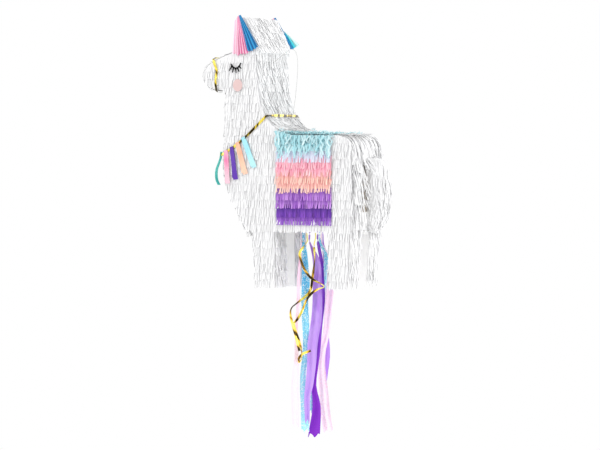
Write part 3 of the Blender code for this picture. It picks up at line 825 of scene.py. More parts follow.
class Coat:
    """The rows of white fringe that cover the figure."""

    LOOSE = 0.0075
    EDGE_HALF = PANEL_Y + 0.0008
    SHAGGY = Cut(0.050, 0.0031, 0.010, 0.13, 0.7, 0.003, 0.25, 0.2, 0.0005, 0.2, 7)
    SHORT = Cut(0.024, 0.0029, 0.003, 0.08, 0.4, 0.001, 0.0, 0.08, 0.0003, 0.1, 5)
    LOOSER = Cut(0.028, STRAND, 0.0042, 0.06, 0.4, 0.0007, 0.0, 0.09, 0.0002, 0.12, 5)

    def __init__(
        self, outline: Outline, calm: Sequence[Calm], cloth: "SaddleCloth", flap: "FillFlap"
    ) -> None:
        """Args: outline: the figure's edge. calm: where the fringe lies flat. cloth, flap: what parts it."""
        self.outline = outline
        self.calm = calm
        self.cloth = cloth
        self.flap = flap

    def cap(self, points: np.ndarray) -> np.ndarray:
        """How far off the card each point may stand."""
        allowed = np.full(points.shape[:-1], self.LOOSE)
        for place in self.calm:
            for x, z in place.points:
                near = np.hypot(points[..., 0] - x, points[..., 2] - z)
                held = place.height + np.clip((near - place.reach) * 0.8, 0, self.LOOSE)
                allowed = np.minimum(allowed, held)
        return allowed

    def add(self, name: str, fringe: Fringe, nodes: Iterable[str] = ()) -> None:
        """Adds a gathered fringe as a piece of the shell."""
        add_piece(name, fringe.mesh(name), WHITE, SHELL, nodes)

    def side_rows(self, sign: int) -> None:
        """Fringe down one flank, one side of the neck and head, and the outer faces of two legs."""
        fringe = Fringe(11 + sign, self.cap)
        low, high = self.outline.points.min(axis=0), self.outline.points.max(axis=0)
        out = np.array([0, sign, 0.0])
        for bottom in np.arange(SOLE_Z + 0.001, high[1], ROW_PITCH):
            probe = bottom + 0.010
            spot = low[0]
            roots, lengths = [], []
            while spot < high[0]:
                spot += STRAND * fringe.rng.uniform(0.84, 1.0)
                ceiling = self.outline.ceiling(spot, probe)
                if ceiling is None or self.cloth.hides(spot, probe):
                    continue
                root = min(bottom + NEAT.length, ceiling - 0.0004) + fringe.rng.normal(0, 0.0006)
                roots.append((spot, sign * PANEL_Y, root))
                lengths.append(root - bottom)
            if roots:
                fringe.hang(np.array(roots), DOWN, out, NEAT, np.array(lengths))
        side = side_name(sign)
        self.leg_rows(fringe, sign)
        self.add(f"{side}_side_coat", fringe, [f"{side}_side_fringe"])

    def leg_rows(self, fringe: Fringe, sign: int) -> None:
        """Fringe on the front and the rear of one side's legs.

        Args:
            fringe: takes the strands.
            sign: -1 for the left side, 1 for the right.
        """
        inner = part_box(f"front_{side_name(1)}_leg_box")[0].y
        fronts = ((-0.054, 0.116), (-0.047, 0.002)), ((0.115, 0.116), (0.117, 0.002))
        rears = ((-0.006, 0.116), (-0.004, 0.002)), ((0.163, 0.116), (0.156, 0.002))
        for way, faces in ((-1, fronts), (1, rears)):
            for top, foot in faces:
                line = np.array([(top[0], at_height(top[1] + 0.006)), (foot[0], at_height(foot[1]))])
                span = sorted((sign * inner, sign * self.EDGE_HALF))
                self.across(fringe, line, way, self.SHORT, (span[0], span[1]), 0.0)

    def across(
        self,
        fringe: Fringe,
        line: np.ndarray,
        way: int,
        cut: Cut,
        span: tuple[float, float],
        past: float = 0.012,
        skip: Callable[[float, float, float], bool] | None = None,
    ) -> None:
        """Rows across the card's width, one below the other along a line of its edge.

        Args:
            fringe: takes the strands.
            line: the edge in the direction in which the strands fall, as (x, z).
            way: 1 where that is the edge's own direction, and -1 where it is the other.
            cut: how the strands are cut.
            span: the least and greatest y of the rows.
            past: how far the last row's tips reach past the line's end.
            skip: says of an x, y and z whether no strand is glued there.
        """
        onward = line[-1] + (line[-1] - line[-2]) / np.linalg.norm(line[-1] - line[-2]) * 2 * cut.length
        path = np.vstack([line, onward])
        length = along(line)[-1]
        last = min(length - 0.004, length + past - cut.length)
        for start in [*np.arange(last, 0.004, -ROW_PITCH), 0.0]:
            places = start + fringe.rng.normal(0, 0.0006) + np.linspace(0, cut.length, cut.segments + 1)
            track = resample(path, places)
            headings = unit(resample(path, places + 0.003) - resample(path, places - 0.003))
            outs2 = np.stack([-headings[:, 1], headings[:, 0]], axis=1) * way
            ys = np.arange(span[0], span[1], cut.width * 0.92) + cut.width / 2
            ys = ys + fringe.rng.normal(0, 0.0003, len(ys))
            if skip is not None:
                ys = np.array([y for y in ys if not skip(track[0, 0], y, track[0, 1])])
            if len(ys) == 0:
                continue
            tracks = np.stack(
                [np.stack([track[:, 0], np.full(len(track), y), track[:, 1]], axis=1) for y in ys]
            )
            outs = np.stack([outs2[:, 0], np.zeros(len(track)), outs2[:, 1]], axis=1)
            fringe.lay(tracks, np.broadcast_to(outs, tracks.shape), cut)

    def edge_coats(self) -> None:
        """Fringe over the card's edge: chest, face, ears, neck, back and rump."""
        full = (-self.EDGE_HALF, self.EDGE_HALF)
        flush = (0.0006 - PANEL_Y, PANEL_Y - 0.0006)
        run = self.outline.run
        chest = Fringe(21, self.cap)
        self.across(chest, run((-0.070, 0.116), (-0.115, 0.388))[::-1], -1, self.LOOSER, flush)
        self.add("chest_coat", chest, ["chest_fringe"])
        head = Fringe(22, self.cap)
        self.across(head, run((-0.115, 0.388), (-0.094, 0.473))[::-1], -1, self.SHORT, flush)
        self.across(head, run((-0.094, 0.473), (-0.079, 0.540))[::-1], -1, self.SHORT, flush)
        self.across(head, run((-0.079, 0.540), (-0.041, 0.479)), 1, self.SHORT, full)
        self.add("head_coat", head, ["head_fringe"])
        neck = Fringe(23, self.cap)
        back = run((-0.041, 0.479), (0.138, 0.305))
        self.across(neck, back, 1, self.LOOSER, full, skip=self.cloth.covers_back)
        self.add("neck_coat", neck, ["neck_fringe"])
        rump = Fringe(24)
        self.across(rump, run((0.138, 0.305), (0.163, 0.116)), 1, self.SHAGGY, full, skip=self.flap.parts)
        edge = run((0.138, 0.305), (0.163, 0.116))
        edge = resample(edge, np.linspace(0, along(edge)[-1], 120))
        beside_flap = (self.flap.left, self.flap.right)
        above = edge[edge[:, 1] > self.flap.top + 0.0006]
        self.across(rump, above, 1, self.SHORT, beside_flap, 0.0)
        below = edge[edge[:, 1] < self.flap.bottom - 0.0015]
        self.across(rump, below, 1, self.SHORT, beside_flap, 0.006)
        self.add("rump_coat", rump, ["rump_fringe"])


@dataclass
class Backing:
    """White tissue glued flat on the card, beneath the fringe, painted a little darker as the shade between
    the strands.
    """

    outline: Outline
    flap: "FillFlap"
    lift: float = 0.00012

    def build(self) -> None:
        """The two flanks, and a band over the card's edge from the chest round to the rump."""
        side = PANEL_Y + self.lift
        loop = self.outline.points
        points = [(x, sign * side, z) for sign in (-1, 1) for x, z in loop]
        faces = [tuple(range(len(loop))), tuple(range(len(loop), 2 * len(loop)))]
        edge = self.outline.run((-0.070, 0.116), (0.163, 0.116))
        edge = resample(edge, np.arange(0, along(edge)[-1], 0.003))
        heading = directions(edge)
        edge = edge + np.stack([-heading[:, 1], heading[:, 0]], axis=1) * self.lift
        start = len(points)
        points += [(x, y, z) for x, z in edge for y in (-side, self.flap.left, self.flap.right, side)]
        for row in range(len(edge) - 1):
            x, z = edge[row]
            for column in range(3):
                if column == 1 and self.flap.parts(x, 0.0, z) and z < self.flap.top:
                    continue
                corner = start + row * 4 + column
                faces.append((corner, corner + 1, corner + 5, corner + 4))
        # Painted shade: the mesh has no tip attribute, so the white tissue's root shade covers it in full.
        mesh = bpy.data.meshes.new("tissue_backing")
        mesh.from_pydata(points, [], faces)
        add_piece("tissue_backing", mesh, WHITE, SHELL)


@dataclass(frozen=True)
class Band:
    """A row of coloured fringe on the saddle cloth.

    Args:
        name: the row's name.
        finish: its tissue.
        bottom: the height at which its strands end.
        cut: how they are cut and lie.
    """

    name: str
    finish: Tissue
    bottom: float
    cut: Cut


def dyed(name: str, colour: Colour, other: Colour, root: Colour) -> Tissue:
    """Coloured tissue for the saddle cloth, with a strong painted shade of its root colour at the strands'
    roots.
    """
    return Tissue(name, colour, other, root, 0.55)


PUFFED = Cut(0.028, 0.0040, 0.009, 0.24, 0.9, 0.0060, 0.15, 0.25, 0.0009, 0.2, 8, 0.5)
UNCUT = Cut(0.020, 0.0180, 0.0, 0.0, 0.0, 0.0, 0.0, 0.0, 0.0, 0.0, 2, 0.1)
LAID = Cut(0.024, 0.0030, 0.003, 0.20, 0.8, 0.0012, 0.0, 0.20, 0.0005, 0.2, 6, 0.3)
CURLED = Cut(0.019, 0.0022, 0.004, 0.30, 1.4, 0.0040, 0.35, 0.30, 0.0012, 0.5, 8, 0.4)
RUFFLED = Cut(0.027, 0.0029, 0.0042, 0.07, 0.5, 0.0008, 0.0, 0.10, 0.0003, 0.10, 6, 0.4)
CRISP = Cut(0.027, 0.0029, 0.0022, 0.025, 0.42, 0.0003, 0.0, 0.03, 0.0002, 0.04, 5, 0.45)

TURQUOISE = Tissue("turquoise_tissue", (0.42, 0.74, 0.79), (0.70, 0.88, 0.90), (0.22, 0.52, 0.60), 0.2, 0.4)
PERIWINKLE = Tissue("periwinkle_tissue", (0.66, 0.70, 0.84), (0.80, 0.84, 0.93), (0.50, 0.50, 0.70), 0.2)
CORAL = dyed("coral_tissue", (0.97, 0.44, 0.55), (0.98, 0.68, 0.70), (0.86, 0.28, 0.42))
PEACH = dyed("peach_tissue", (0.96, 0.56, 0.48), (0.97, 0.74, 0.62), (0.86, 0.36, 0.36))
ORCHID = dyed("orchid_tissue", (0.38, 0.13, 0.62), (0.66, 0.34, 0.84), (0.13, 0.03, 0.32))
INDIGO = dyed("indigo_tissue", (0.13, 0.03, 0.38), (0.24, 0.07, 0.54), (0.04, 0.008, 0.17))
VIOLET = dyed("violet_tissue", (0.25, 0.08, 0.52), (0.40, 0.17, 0.68), (0.10, 0.02, 0.28))


@dataclass
class SaddleCloth:
    """The striped cloth of fringe rows over the back and down both flanks."""

    outline: Outline
    bands: tuple[Band, ...] = (
        Band("violet_hem", VIOLET, 0.1275, CRISP),
        Band("indigo_row", INDIGO, 0.1430, CRISP),
        Band("orchid_lower_row", ORCHID, 0.1605, CRISP),
        Band("orchid_upper_row", ORCHID, 0.1760, CRISP),
        Band("peach_lower_row", PEACH, 0.1920, RUFFLED),
        Band("peach_upper_row", PEACH, 0.2090, RUFFLED),
        Band("coral_lower_row", CORAL, 0.2240, RUFFLED),
        Band("coral_upper_row", CORAL, 0.2390, RUFFLED),
        Band("periwinkle_row", PERIWINKLE, 0.2510, CRISP),
        Band("turquoise_lower_row", TURQUOISE, 0.2660, PUFFED),
        Band("turquoise_upper_row", TURQUOISE, 0.2860, PUFFED),
    )
    front: float = field(init=False)
    rear: float = field(init=False)

    def __post_init__(self) -> None:
        """Reads the cloth's place from its plain solid."""
        low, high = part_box("blanket")
        self.front, self.rear = low.x, high.x
        self.hem, self.y = low.z, high.y - 0.0028
        self.crown = at_height(0.3165)

    def hides(self, x: float, z: float) -> bool:
        """Whether a place on a flank is well under the cloth."""
        return self.front + 0.008 < x < self.rear - 0.008 and self.hem + 0.016 < z < self.crown - 0.012

    def covers_back(self, x: float, y: float, z: float) -> bool:
        """Whether a place on the back is under the cloth."""
        return self.front + 0.008 < x < self.rear - 0.012 and z < self.crown

    def cap(self, points: np.ndarray) -> np.ndarray:
        """How far off the flanks each point may stand."""
        return np.maximum(self.y + 0.0125 - np.abs(points[..., 1]), 0.0004)

    def ridge(self, xs: np.ndarray) -> np.ndarray:
        """The height of the cloth's top edge at each x."""
        found = [self.outline.ceiling(x, at_height(0.290)) or self.crown for x in xs]
        return np.minimum(found, self.crown)

    def build(self) -> None:
        """All the rows, from the hem up, and the curls over the back."""
        for number, band in enumerate(self.bands):
            fringe = Fringe(40 + number, self.cap)
            for sign in (-1, 1):
                self.flank_row(fringe, band, sign, number * 0.0002)
                if band.cut is PUFFED:
                    self.back_rows(fringe, sign, 0.0005 if band is self.bands[-1] else 0.010)
                    self.crest(fringe, sign)
            nodes = ["blanket"] if number == 0 else []
            add_piece(band.name, fringe.mesh(band.name), band.finish, SHELL, nodes)

    def flank_row(self, fringe: Fringe, band: Band, sign: int, layer: float) -> None:
        """One row on one flank.

        Args:
            fringe: takes the strands.
            band: the row's colour, height and cut.
            sign: -1 for the left flank, 1 for the right.
            layer: how far out it lies over the rows below it.
        """
        xs = np.arange(self.front, self.rear, min(band.cut.width, 0.0030) * 1.04) + band.cut.width / 2
        bottom = at_height(band.bottom)
        tops = np.minimum(bottom + band.cut.length, self.ridge(xs) - 0.001)
        tops = tops + fringe.rng.normal(0, 0.0005, len(xs))
        roots = np.stack([xs, np.full(len(xs), sign * (self.y + layer)), tops], axis=1)
        out = np.array([0, sign, 0.0])
        fringe.hang(roots, DOWN, out, band.cut, tops - bottom)
        wide = roots[3:-2:4] - out * 0.0002
        fringe.hang(wide, DOWN, out, UNCUT, tops[3:-2:4] - bottom - 0.008, 0.3)

    def back_rows(self, fringe: Fringe, sign: int, first: float) -> None:
        """Rows that lie on top of the back and fall to one side."""
        xs = np.arange(self.front + 0.020, self.rear, LAID.width) + LAID.width / 2
        for y in np.arange(first, self.y - 0.004, 0.018):
            roots = np.stack([xs, np.full(len(xs), sign * y), self.ridge(xs) + 0.0008], axis=1)
            fringe.hang(roots, np.array([0, sign, 0.0]), UP, LAID, min(LAID.length, self.y + 0.004 - y))

    def crest(self, fringe: Fringe, sign: int) -> None:
        """Curls that stick up and out along one edge of the back.

        Args:
            fringe: takes the curls.
            sign: -1 for the left edge, 1 for the right.
        """
        xs = np.arange(self.front + 0.004, self.rear, 0.0034 if sign < 0 else 0.0050)
        xs = xs + fringe.rng.normal(0, 0.0012, len(xs))
        rng, count = fringe.rng, len(xs)
        roots = np.stack([xs, np.full(count, sign * (self.y - 0.001)), self.ridge(xs) - 0.002], axis=1)
        upright = np.stack(
            [rng.normal(0.15, 0.6, count), np.zeros(count), rng.uniform(-0.8, 0.8, count)], axis=1
        )
        aside = sign * rng.uniform(0.0, 0.42, count)
        falls = unit(unit(upright) + np.stack([np.zeros(count), aside, np.zeros(count)], axis=1))
        outs = unit(np.cross(np.cross(falls, UP), falls))
        fringe.hang(roots, falls, outs, CURLED, rng.uniform(0.010, 0.017, count))


@dataclass
class FillFlap:
    """The flap behind the tail, where the sweets go in, and the shaggy tail on it."""

    LOOSE: ClassVar[Cut] = Cut(0.024, 0.0034, 0.004, 0.15, 0.9, 0.001, 0.1, 0.25, 0.0005, 0.25, 6)
    HEIGHTS: ClassVar[Sizes] = (
        0.112, 0.119, 0.128, 0.140, 0.152, 0.170, 0.190, 0.215, 0.236, 0.250, 0.257, 0.261,
    )
    DEPTHS: ClassVar[Sizes] = (
        0.006, 0.013, 0.022, 0.030, 0.033, 0.035, 0.036, 0.034, 0.032, 0.029, 0.023, 0.010,
    )
    HALF: ClassVar[float] = 0.025

    def __post_init__(self) -> None:
        """Reads the flap's place from its solid."""
        low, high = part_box("fill_flap")
        self.left, self.right = low.y, high.y
        self.bottom, self.top, self.face = low.z, high.z, high.x
        low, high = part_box("tail_tuft")
        self.middle = (low.y + high.y) / 2

    def parts(self, x: float, y: float, z: float) -> bool:
        """Whether the coat leaves a place on the rump bare for the flap."""
        near = self.left + 0.0008 < y < self.right - 0.0008
        return bool(near and self.bottom - 0.003 < z < at_height(0.306))

    def core(self, turns: np.ndarray, levels: np.ndarray) -> np.ndarray:
        """How far the tail's core reaches from its middle line.

        Args:
            turns: angles from straight behind.
            levels: heights, as z.

        Returns:
            The reach at each of them.
        """
        marks = [at_height(height) for height in self.HEIGHTS]
        depth = np.maximum(np.interp(levels, marks, self.DEPTHS, left=0.0, right=0.0), 0.0001)
        half = self.HALF * np.minimum(depth / 0.030, 1.0)
        return 1 / np.hypot(np.cos(turns) / depth, np.sin(turns) / half)

    def tuft(self) -> bpy.types.Mesh:
        """The tail's core, which closes the gaps between its strands, with a painted shade as of the inside
        of the tail.
        """
        levels = np.linspace(at_height(self.HEIGHTS[0]), at_height(self.HEIGHTS[-1]), 34)
        turn, level = np.meshgrid(np.radians(np.linspace(-90, 90, 25)), levels)
        reach = self.core(turn, level)
        sides = (self.face + np.cos(turn) * reach, self.middle + np.sin(turn) * reach, level)
        # Painted shade: a tone and tip of 0.6 give the core a little of the white tissue's root shade.
        shade = np.full(turn.shape, 0.6)
        return sheet_mesh("tail_core", np.stack(sides, axis=-1), {"tone": shade, "tip": shade})

    def tracks(self, fringe: Fringe, turns: np.ndarray, tops: np.ndarray, cut: Cut) -> np.ndarray:
        """The paths of strands down the tail.

        Args:
            fringe: the source of their lean.
            turns: the sides of the tail that they are on, as angles from straight behind.
            tops: where they are glued.
            cut: how they are cut.

        Returns:
            Their points, which draw inward below the core.
        """
        step = cut.length / cut.segments
        lean = fringe.rng.normal(0.004, 0.012, len(turns))
        reach = np.full(len(turns), 0.004)
        points = []
        for number in range(cut.segments + 1):
            ways = turns + lean * number
            levels = tops - step * number
            reach = np.maximum(self.core(ways, levels) + 0.0004, reach - step * 0.7)
            x = self.face + np.cos(ways) * reach
            y = self.middle + np.sin(ways) * reach
            points.append(np.stack([x, y, levels], axis=1))
        return np.stack(points, axis=1)

    def tail(self, fringe: Fringe) -> None:
        """Rows of long strands down the tail, from its top to its foot."""
        foot, crown = at_height(self.HEIGHTS[0]), at_height(self.HEIGHTS[-1])
        count = 36
        for height in np.arange(crown - 0.001, foot + 0.012, -0.0085):
            length = float(np.interp(height, (foot, crown), (0.014, 0.042)))
            cut = Cut(length, 0.0030, 0.0022, 0.07, 0.5, 0.0008, 0.0, 0.22, 0.0005, 0.35, 8, 0.30)
            turns = np.radians(np.linspace(-86, 86, count) + fringe.rng.normal(0, 2.4, count))
            tops = height + fringe.rng.normal(0, 0.0020, count)
            outs = np.stack([np.cos(turns), np.sin(turns), np.zeros(count)], axis=1)
            tracks = self.tracks(fringe, turns, tops, cut)
            fringe.lay(tracks, np.broadcast_to(outs[:, None, :], tracks.shape), cut)

    def beside(self, fringe: Fringe) -> None:
        """Short strands on the part of the flap that the tail leaves bare."""
        for height in np.arange(self.bottom + 0.022, self.top, 0.011):
            ys = fringe.rng.uniform(self.left + 0.002, self.middle - self.HALF + 0.004, 5)
            spots = (np.full(5, self.face + 0.0004), ys, height + fringe.rng.normal(0, 0.002, 5))
            ways = (fringe.rng.uniform(0.02, 0.25, 5), fringe.rng.normal(0, 0.18, 5), np.full(5, -1.0))
            falls = unit(np.stack(ways, axis=1))
            fringe.hang(np.stack(spots, axis=1), falls, np.array([1.0, 0, 0]), self.LOOSE, 0.024)

    def over_the_top(self, fringe: Fringe) -> None:
        """Two rows from the flap's top edge that fall over the tail's root."""
        ys = np.arange(self.left + 0.002, self.right - 0.001, 0.0021)
        count = len(ys)
        for slope, length in ((0.25, 0.020), (0.75, 0.034)):
            spots = (np.full(count, self.face + 0.0004), ys, np.full(count, self.top - 0.0006))
            ways = (
                fringe.rng.uniform(0.6, 1.2, count) * slope,
                fringe.rng.normal(0, 0.12, count),
                np.full(count, -1.0),
            )
            falls = unit(np.stack(ways, axis=1))
            outs = unit(np.stack([np.ones(count), np.zeros(count), falls[:, 0]], axis=1))
            fringe.hang(np.stack(spots, axis=1), falls, outs, self.LOOSE, length)

    def build(self) -> None:
        """The tail's core and its strands, in place of the plain tuft."""
        add_piece("tail_core", self.tuft(), WHITE, "fill_flap", ["tail_tuft"])
        fringe = Fringe(60)
        self.tail(fringe)
        self.beside(fringe)
        self.over_the_top(fringe)
        add_piece("tail_strands", fringe.mesh("tail_strands"), WHITE, "fill_flap")


@dataclass(frozen=True)
class Pleats:
    """One colour of the pleated fan on an ear.

    Args:
        name: the piece's name, without its side.
        finish: its tissue.
        top: its two upper corners, as (x, height).
        corners: its lower edge from its first corner to its last, as (x, height).
        folds: how many pleats it has.
        layer: how far out it lies.
    """

    name: str
    finish: Tissue
    top: tuple[Point2, Point2]
    corners: tuple[Point2, ...]
    folds: int
    layer: float


PALE_PINK = dyed("pale_pink_tissue", (0.96, 0.64, 0.76), (0.98, 0.80, 0.87), (0.90, 0.46, 0.62))
ROSE_PINK = dyed("rose_pink_tissue", (0.92, 0.36, 0.56), (0.97, 0.70, 0.80), (0.66, 0.05, 0.28))
BRIGHT_BLUE = dyed("bright_blue_tissue", (0.01, 0.21, 0.50), (0.04, 0.42, 0.78), (0.003, 0.08, 0.25))
AQUA = dyed("aqua_tissue", (0.04, 0.66, 0.78), (0.10, 0.74, 0.84), (0.02, 0.42, 0.56))
MINT = dyed("mint_tissue", (0.66, 0.94, 0.90), (0.80, 0.97, 0.94), (0.48, 0.84, 0.80))


@dataclass
class EarFans:
    """Pleated tissue that spreads down each ear from its tip."""

    fans: tuple[Pleats, ...] = (
        Pleats(
            "pale_pleats",
            PALE_PINK,
            ((-0.0925, 0.5330), (-0.0835, 0.5435)),
            ((-0.0960, 0.4670), (-0.0900, 0.4655), (-0.0820, 0.4655)),
            2,
            0.0000,
        ),
        Pleats(
            "rose_pleats",
            ROSE_PINK,
            ((-0.0855, 0.5420), (-0.0810, 0.5440)),
            ((-0.0850, 0.4655), (-0.0720, 0.4665), (-0.0590, 0.4715)),
            4,
            0.0006,
        ),
        Pleats(
            "blue_pleats",
            BRIGHT_BLUE,
            ((-0.0820, 0.5440), (-0.0775, 0.5450)),
            ((-0.0605, 0.4725), (-0.0490, 0.4745), (-0.0370, 0.4815)),
            3,
            0.0012,
        ),
    )
    far_fans: tuple[Pleats, ...] = (
        Pleats(
            "aqua_pleats",
            AQUA,
            ((-0.0600, 0.5180), (-0.0560, 0.5140)),
            ((-0.0450, 0.4780), (-0.0375, 0.4815), (-0.0330, 0.4850)),
            2,
            0.0040,
        ),
        Pleats(
            "mint_pleats",
            MINT,
            ((-0.0570, 0.5150), (-0.0530, 0.5100)),
            ((-0.0400, 0.4830), (-0.0330, 0.4850), (-0.0270, 0.4890)),
            2,
            0.0085,
        ),
    )

    def build(self) -> None:
        """The fans on both ears, of which the right one has two colours more."""
        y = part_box("right_ear_fan")[0].y
        for sign in (-1, 1):
            fans = self.fans if sign < 0 else self.fans + self.far_fans
            for number, fan in enumerate(fans):
                name = f"{side_name(sign)}_{fan.name}"
                mesh = self.pleated(name, fan, sign, y)
                nodes = [f"{side_name(sign)}_ear_fan"] if number == 0 else []
                add_piece(name, mesh, fan.finish, SHELL, nodes)

    def pleated(self, name: str, fan: Pleats, sign: int, y: float) -> bpy.types.Mesh:
        """A sheet folded to and fro about lines that draw together towards the ear's tip, painted lighter on
        its ridges and darker in its valleys.

        Args:
            name: of the mesh.
            fan: its place, its colour and its folds.
            sign: -1 for the left ear, 1 for the right.
            y: how far the ear is from the middle plane.

        Returns:
            The mesh.
        """
        rng = np.random.default_rng(len(name))
        columns = fan.folds * 6 + 1
        foot = smooth([(x, at_height(h)) for x, h in fan.corners], 16)
        foot = resample(foot, np.linspace(0, along(foot)[-1], columns))
        top = np.array([(x, at_height(h)) for x, h in fan.top])
        top = resample(top, np.linspace(0, along(top)[-1], columns))
        rows = 16
        grid = np.zeros((rows, columns, 3))
        phase = np.linspace(0, fan.folds, columns) + rng.uniform(-0.15, 0.15)
        fold = np.abs((phase % 1.0) * 2 - 1) * 2 - 1
        for i, t in enumerate(np.linspace(0, 1, rows)):
            reach = t * np.where(t == 1, rng.uniform(0.97, 1.02, columns), 1.0)
            at = top + (foot - top) * reach[:, None]
            depth = 0.0002 + 0.0026 * t
            waver = 0.0004 * np.sin(t * 9 + np.arange(columns) * 0.7) * t
            grid[i, :, 0], grid[i, :, 2] = at[:, 0], at[:, 1]
            grid[i, :, 1] = sign * (y + 0.0030 + fan.layer + fold * depth + waver)
        # Painted light and shade: the pleats' ridges take the lighter tone and their valleys the darker, and
        # through the tip attribute the valleys also take the tissue's root shade.
        tone = np.clip(0.5 + 0.5 * fold + rng.normal(0, 0.12, columns), 0, 1) + np.zeros((rows, 1))
        fold_shade = 0.55 + 0.35 * fold + np.zeros((rows, 1))
        return sheet_mesh(name, grid, {"tone": tone, "tip": fold_shade})


@dataclass
class ClosedEyes:
    """Closed eyes with lashes, cut from black paper."""

    lid: tuple[Point2, ...] = (
        (-0.1012, 0.4475), (-0.0975, 0.4418), (-0.0906, 0.4390), (-0.0845, 0.4418), (-0.0788, 0.4495),
    )
    lashes: tuple[tuple[Point2, Point2], ...] = (
        ((-0.0995, 0.4440), (-0.1050, 0.4342)),
        ((-0.0958, 0.4405), (-0.0985, 0.4302)),
        ((-0.0912, 0.4392), (-0.0900, 0.4292)),
        ((-0.0872, 0.4402), (-0.0830, 0.4318)),
        ((-0.0835, 0.4428), (-0.0778, 0.4382)),
    )

    def build(self) -> None:
        """The lid's line and its lashes, on both sides."""
        for sign in (-1, 1):
            side = side_name(sign)
            low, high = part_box(f"{side}_eye")
            y = (high.y if sign > 0 else low.y) + sign * 0.0004
            strips = [self.stroke(smooth(self.lid, 8), 0.0034, 0.0026, y)]
            strips += [self.stroke(np.array(lash), 0.0036, 0.0020, y) for lash in self.lashes]
            name = f"{side}_closed_eye"
            mesh = sheet_mesh(name, np.stack(strips), {})
            add_piece(name, mesh, INK, SHELL, [f"{side}_eye"])

    def stroke(self, line: np.ndarray, start: float, end: float, y: float) -> np.ndarray:
        """A flat tapering stroke along a line of (x, height).

        Args:
            line: the stroke's middle.
            start: its width where it starts.
            end: its width where it ends.
            y: the plane that it lies in.

        Returns:
            Its two edges, as (points, 2, 3).
        """
        path = resample(np.array(line), np.linspace(0, along(np.array(line))[-1], 25))
        heading = directions(path)
        across = np.stack([-heading[:, 1], heading[:, 0]], axis=1)
        half = np.linspace(start, end, len(path))[:, None] / 2
        grid = np.zeros((len(path), 2, 3))
        for column, way in enumerate((-1, 1)):
            edge = path + across * half * way
            grid[:, column, 0], grid[:, column, 2] = edge[:, 0], at_height(0.0) + edge[:, 1]
        grid[..., 1] = y
        return grid


# ------------------------------------------------------------------------------- ribbons


def ribbon_mesh(
    name: str, path: np.ndarray, wide: np.ndarray, width: float, closed: bool = False
) -> bpy.types.Mesh:
    """A flat ribbon along a path.

    Args:
        name: the mesh's name.
        path: its middle line.
        wide: the unit direction of its width at each point.
        width: its width.
        closed: whether it is a loop.

    Returns:
        The mesh, with its run and its place across as attributes.
    """
    across = np.linspace(-1, 1, 5)
    grid = path[:, None, :] + wide[:, None, :] * across[None, :, None] * width / 2
    normal = unit(np.cross(directions(path), wide))
    grid = grid + normal[:, None, :] * (0.0003 * (1 - across**2))[None, :, None]
    run = np.broadcast_to(along(path)[:, None], grid.shape[:2])
    return sheet_mesh(name, grid, {"run": run, "across": np.broadcast_to(across, grid.shape[:2])}, closed)


@dataclass(frozen=True)
class Girdle:
    """A foil ribbon tied round the figure.

    Args:
        name: the ribbon's name.
        node: the plain solid that it stands for.
        flank: its line over a flank from front to rear, as (x, height).
        front_out: the direction away from the card's edge at its front end, as (x, z).
        rear_out: the same at its rear end.
        turns: how often it rolls to and fro on its way round.
    """

    name: str
    node: str
    flank: tuple[Point2, ...]
    front_out: Point2
    rear_out: Point2
    turns: float

    def line(self) -> np.ndarray:
        """The flank's line, as (x, z)."""
        return smooth([(x, at_height(h)) for x, h in self.flank], 8)

    def build(self, surface: float, width: float) -> None:
        """Makes the ribbon, at a distance from the middle plane, of a width.

        Args:
            surface: how far from the middle plane it lies on the flanks.
            width: of the ribbon.
        """
        flank = self.line()
        points, outs = [], []
        inside = surface - 0.004
        for sign, order in ((-1, 1), (1, -1)):
            for x, z in flank[::order]:
                points.append((x, sign * surface, z))
                outs.append((0, sign, 0))
            end, way = (flank[-1], self.rear_out) if order == 1 else (flank[0], self.front_out)
            corner = np.array([way[0], 0, way[1]])
            for y in np.linspace(-inside, inside, 15) * -sign:
                sag = 0.0010 * (1 - (y / inside) ** 2)
                points.append(np.array([end[0], y, end[1]]) + corner * (0.0028 + sag))
                outs.append(corner)
        loop, normals = np.array(points, float), np.array(outs, float)
        path = smooth(np.vstack([loop, loop[:1]]), 3)[:-1]
        normal = unit(smooth(np.vstack([normals, normals[:1]]), 3)[:-1])
        heading = unit(np.roll(path, -1, axis=0) - np.roll(path, 1, axis=0))
        flat = unit(np.cross(heading, normal))
        share = np.arange(len(path)) / len(path) * math.tau
        roll = 0.35 * np.sin(share * self.turns) * np.sin(share * 3 + 1)
        wide = flat * np.cos(roll)[:, None] + normal * np.sin(roll)[:, None]
        path = path + normal * (0.0005 + np.abs(np.sin(roll)) * width / 2)[:, None]
        mesh = ribbon_mesh(self.name, path, wide, width, True)
        add_piece(self.name, mesh, GOLD, SHELL, [self.node])


NECKLACE = Girdle(
    "foil_necklace",
    "necklace_ribbon",
    (
        (-0.1240, 0.2665), (-0.1150, 0.2710), (-0.0930, 0.2840),
        (-0.0640, 0.3060), (-0.0360, 0.3310), (-0.0235, 0.3420),
    ),
    (-1.0, 0.1),
    (0.75, 0.66),
    9.0,
)
HALTER = Girdle(
    "foil_halter",
    "halter_ribbon",
    (
        (-0.1425, 0.4570), (-0.1395, 0.4480), (-0.1350, 0.4340),
        (-0.1370, 0.4200), (-0.1375, 0.4080), (-0.1350, 0.3955),
    ),
    (-0.45, 0.89),
    (0.1, -1.0),
    5.0,
)


# ------------------------------------------------------------------------------- tassels


def crepe(name: str, colour: Colour, other: Colour, tail: Colour, **more: object) -> Crepe:
    """A streamer's or a tassel's paper."""
    return Crepe(name, colour, other, tail, **more)


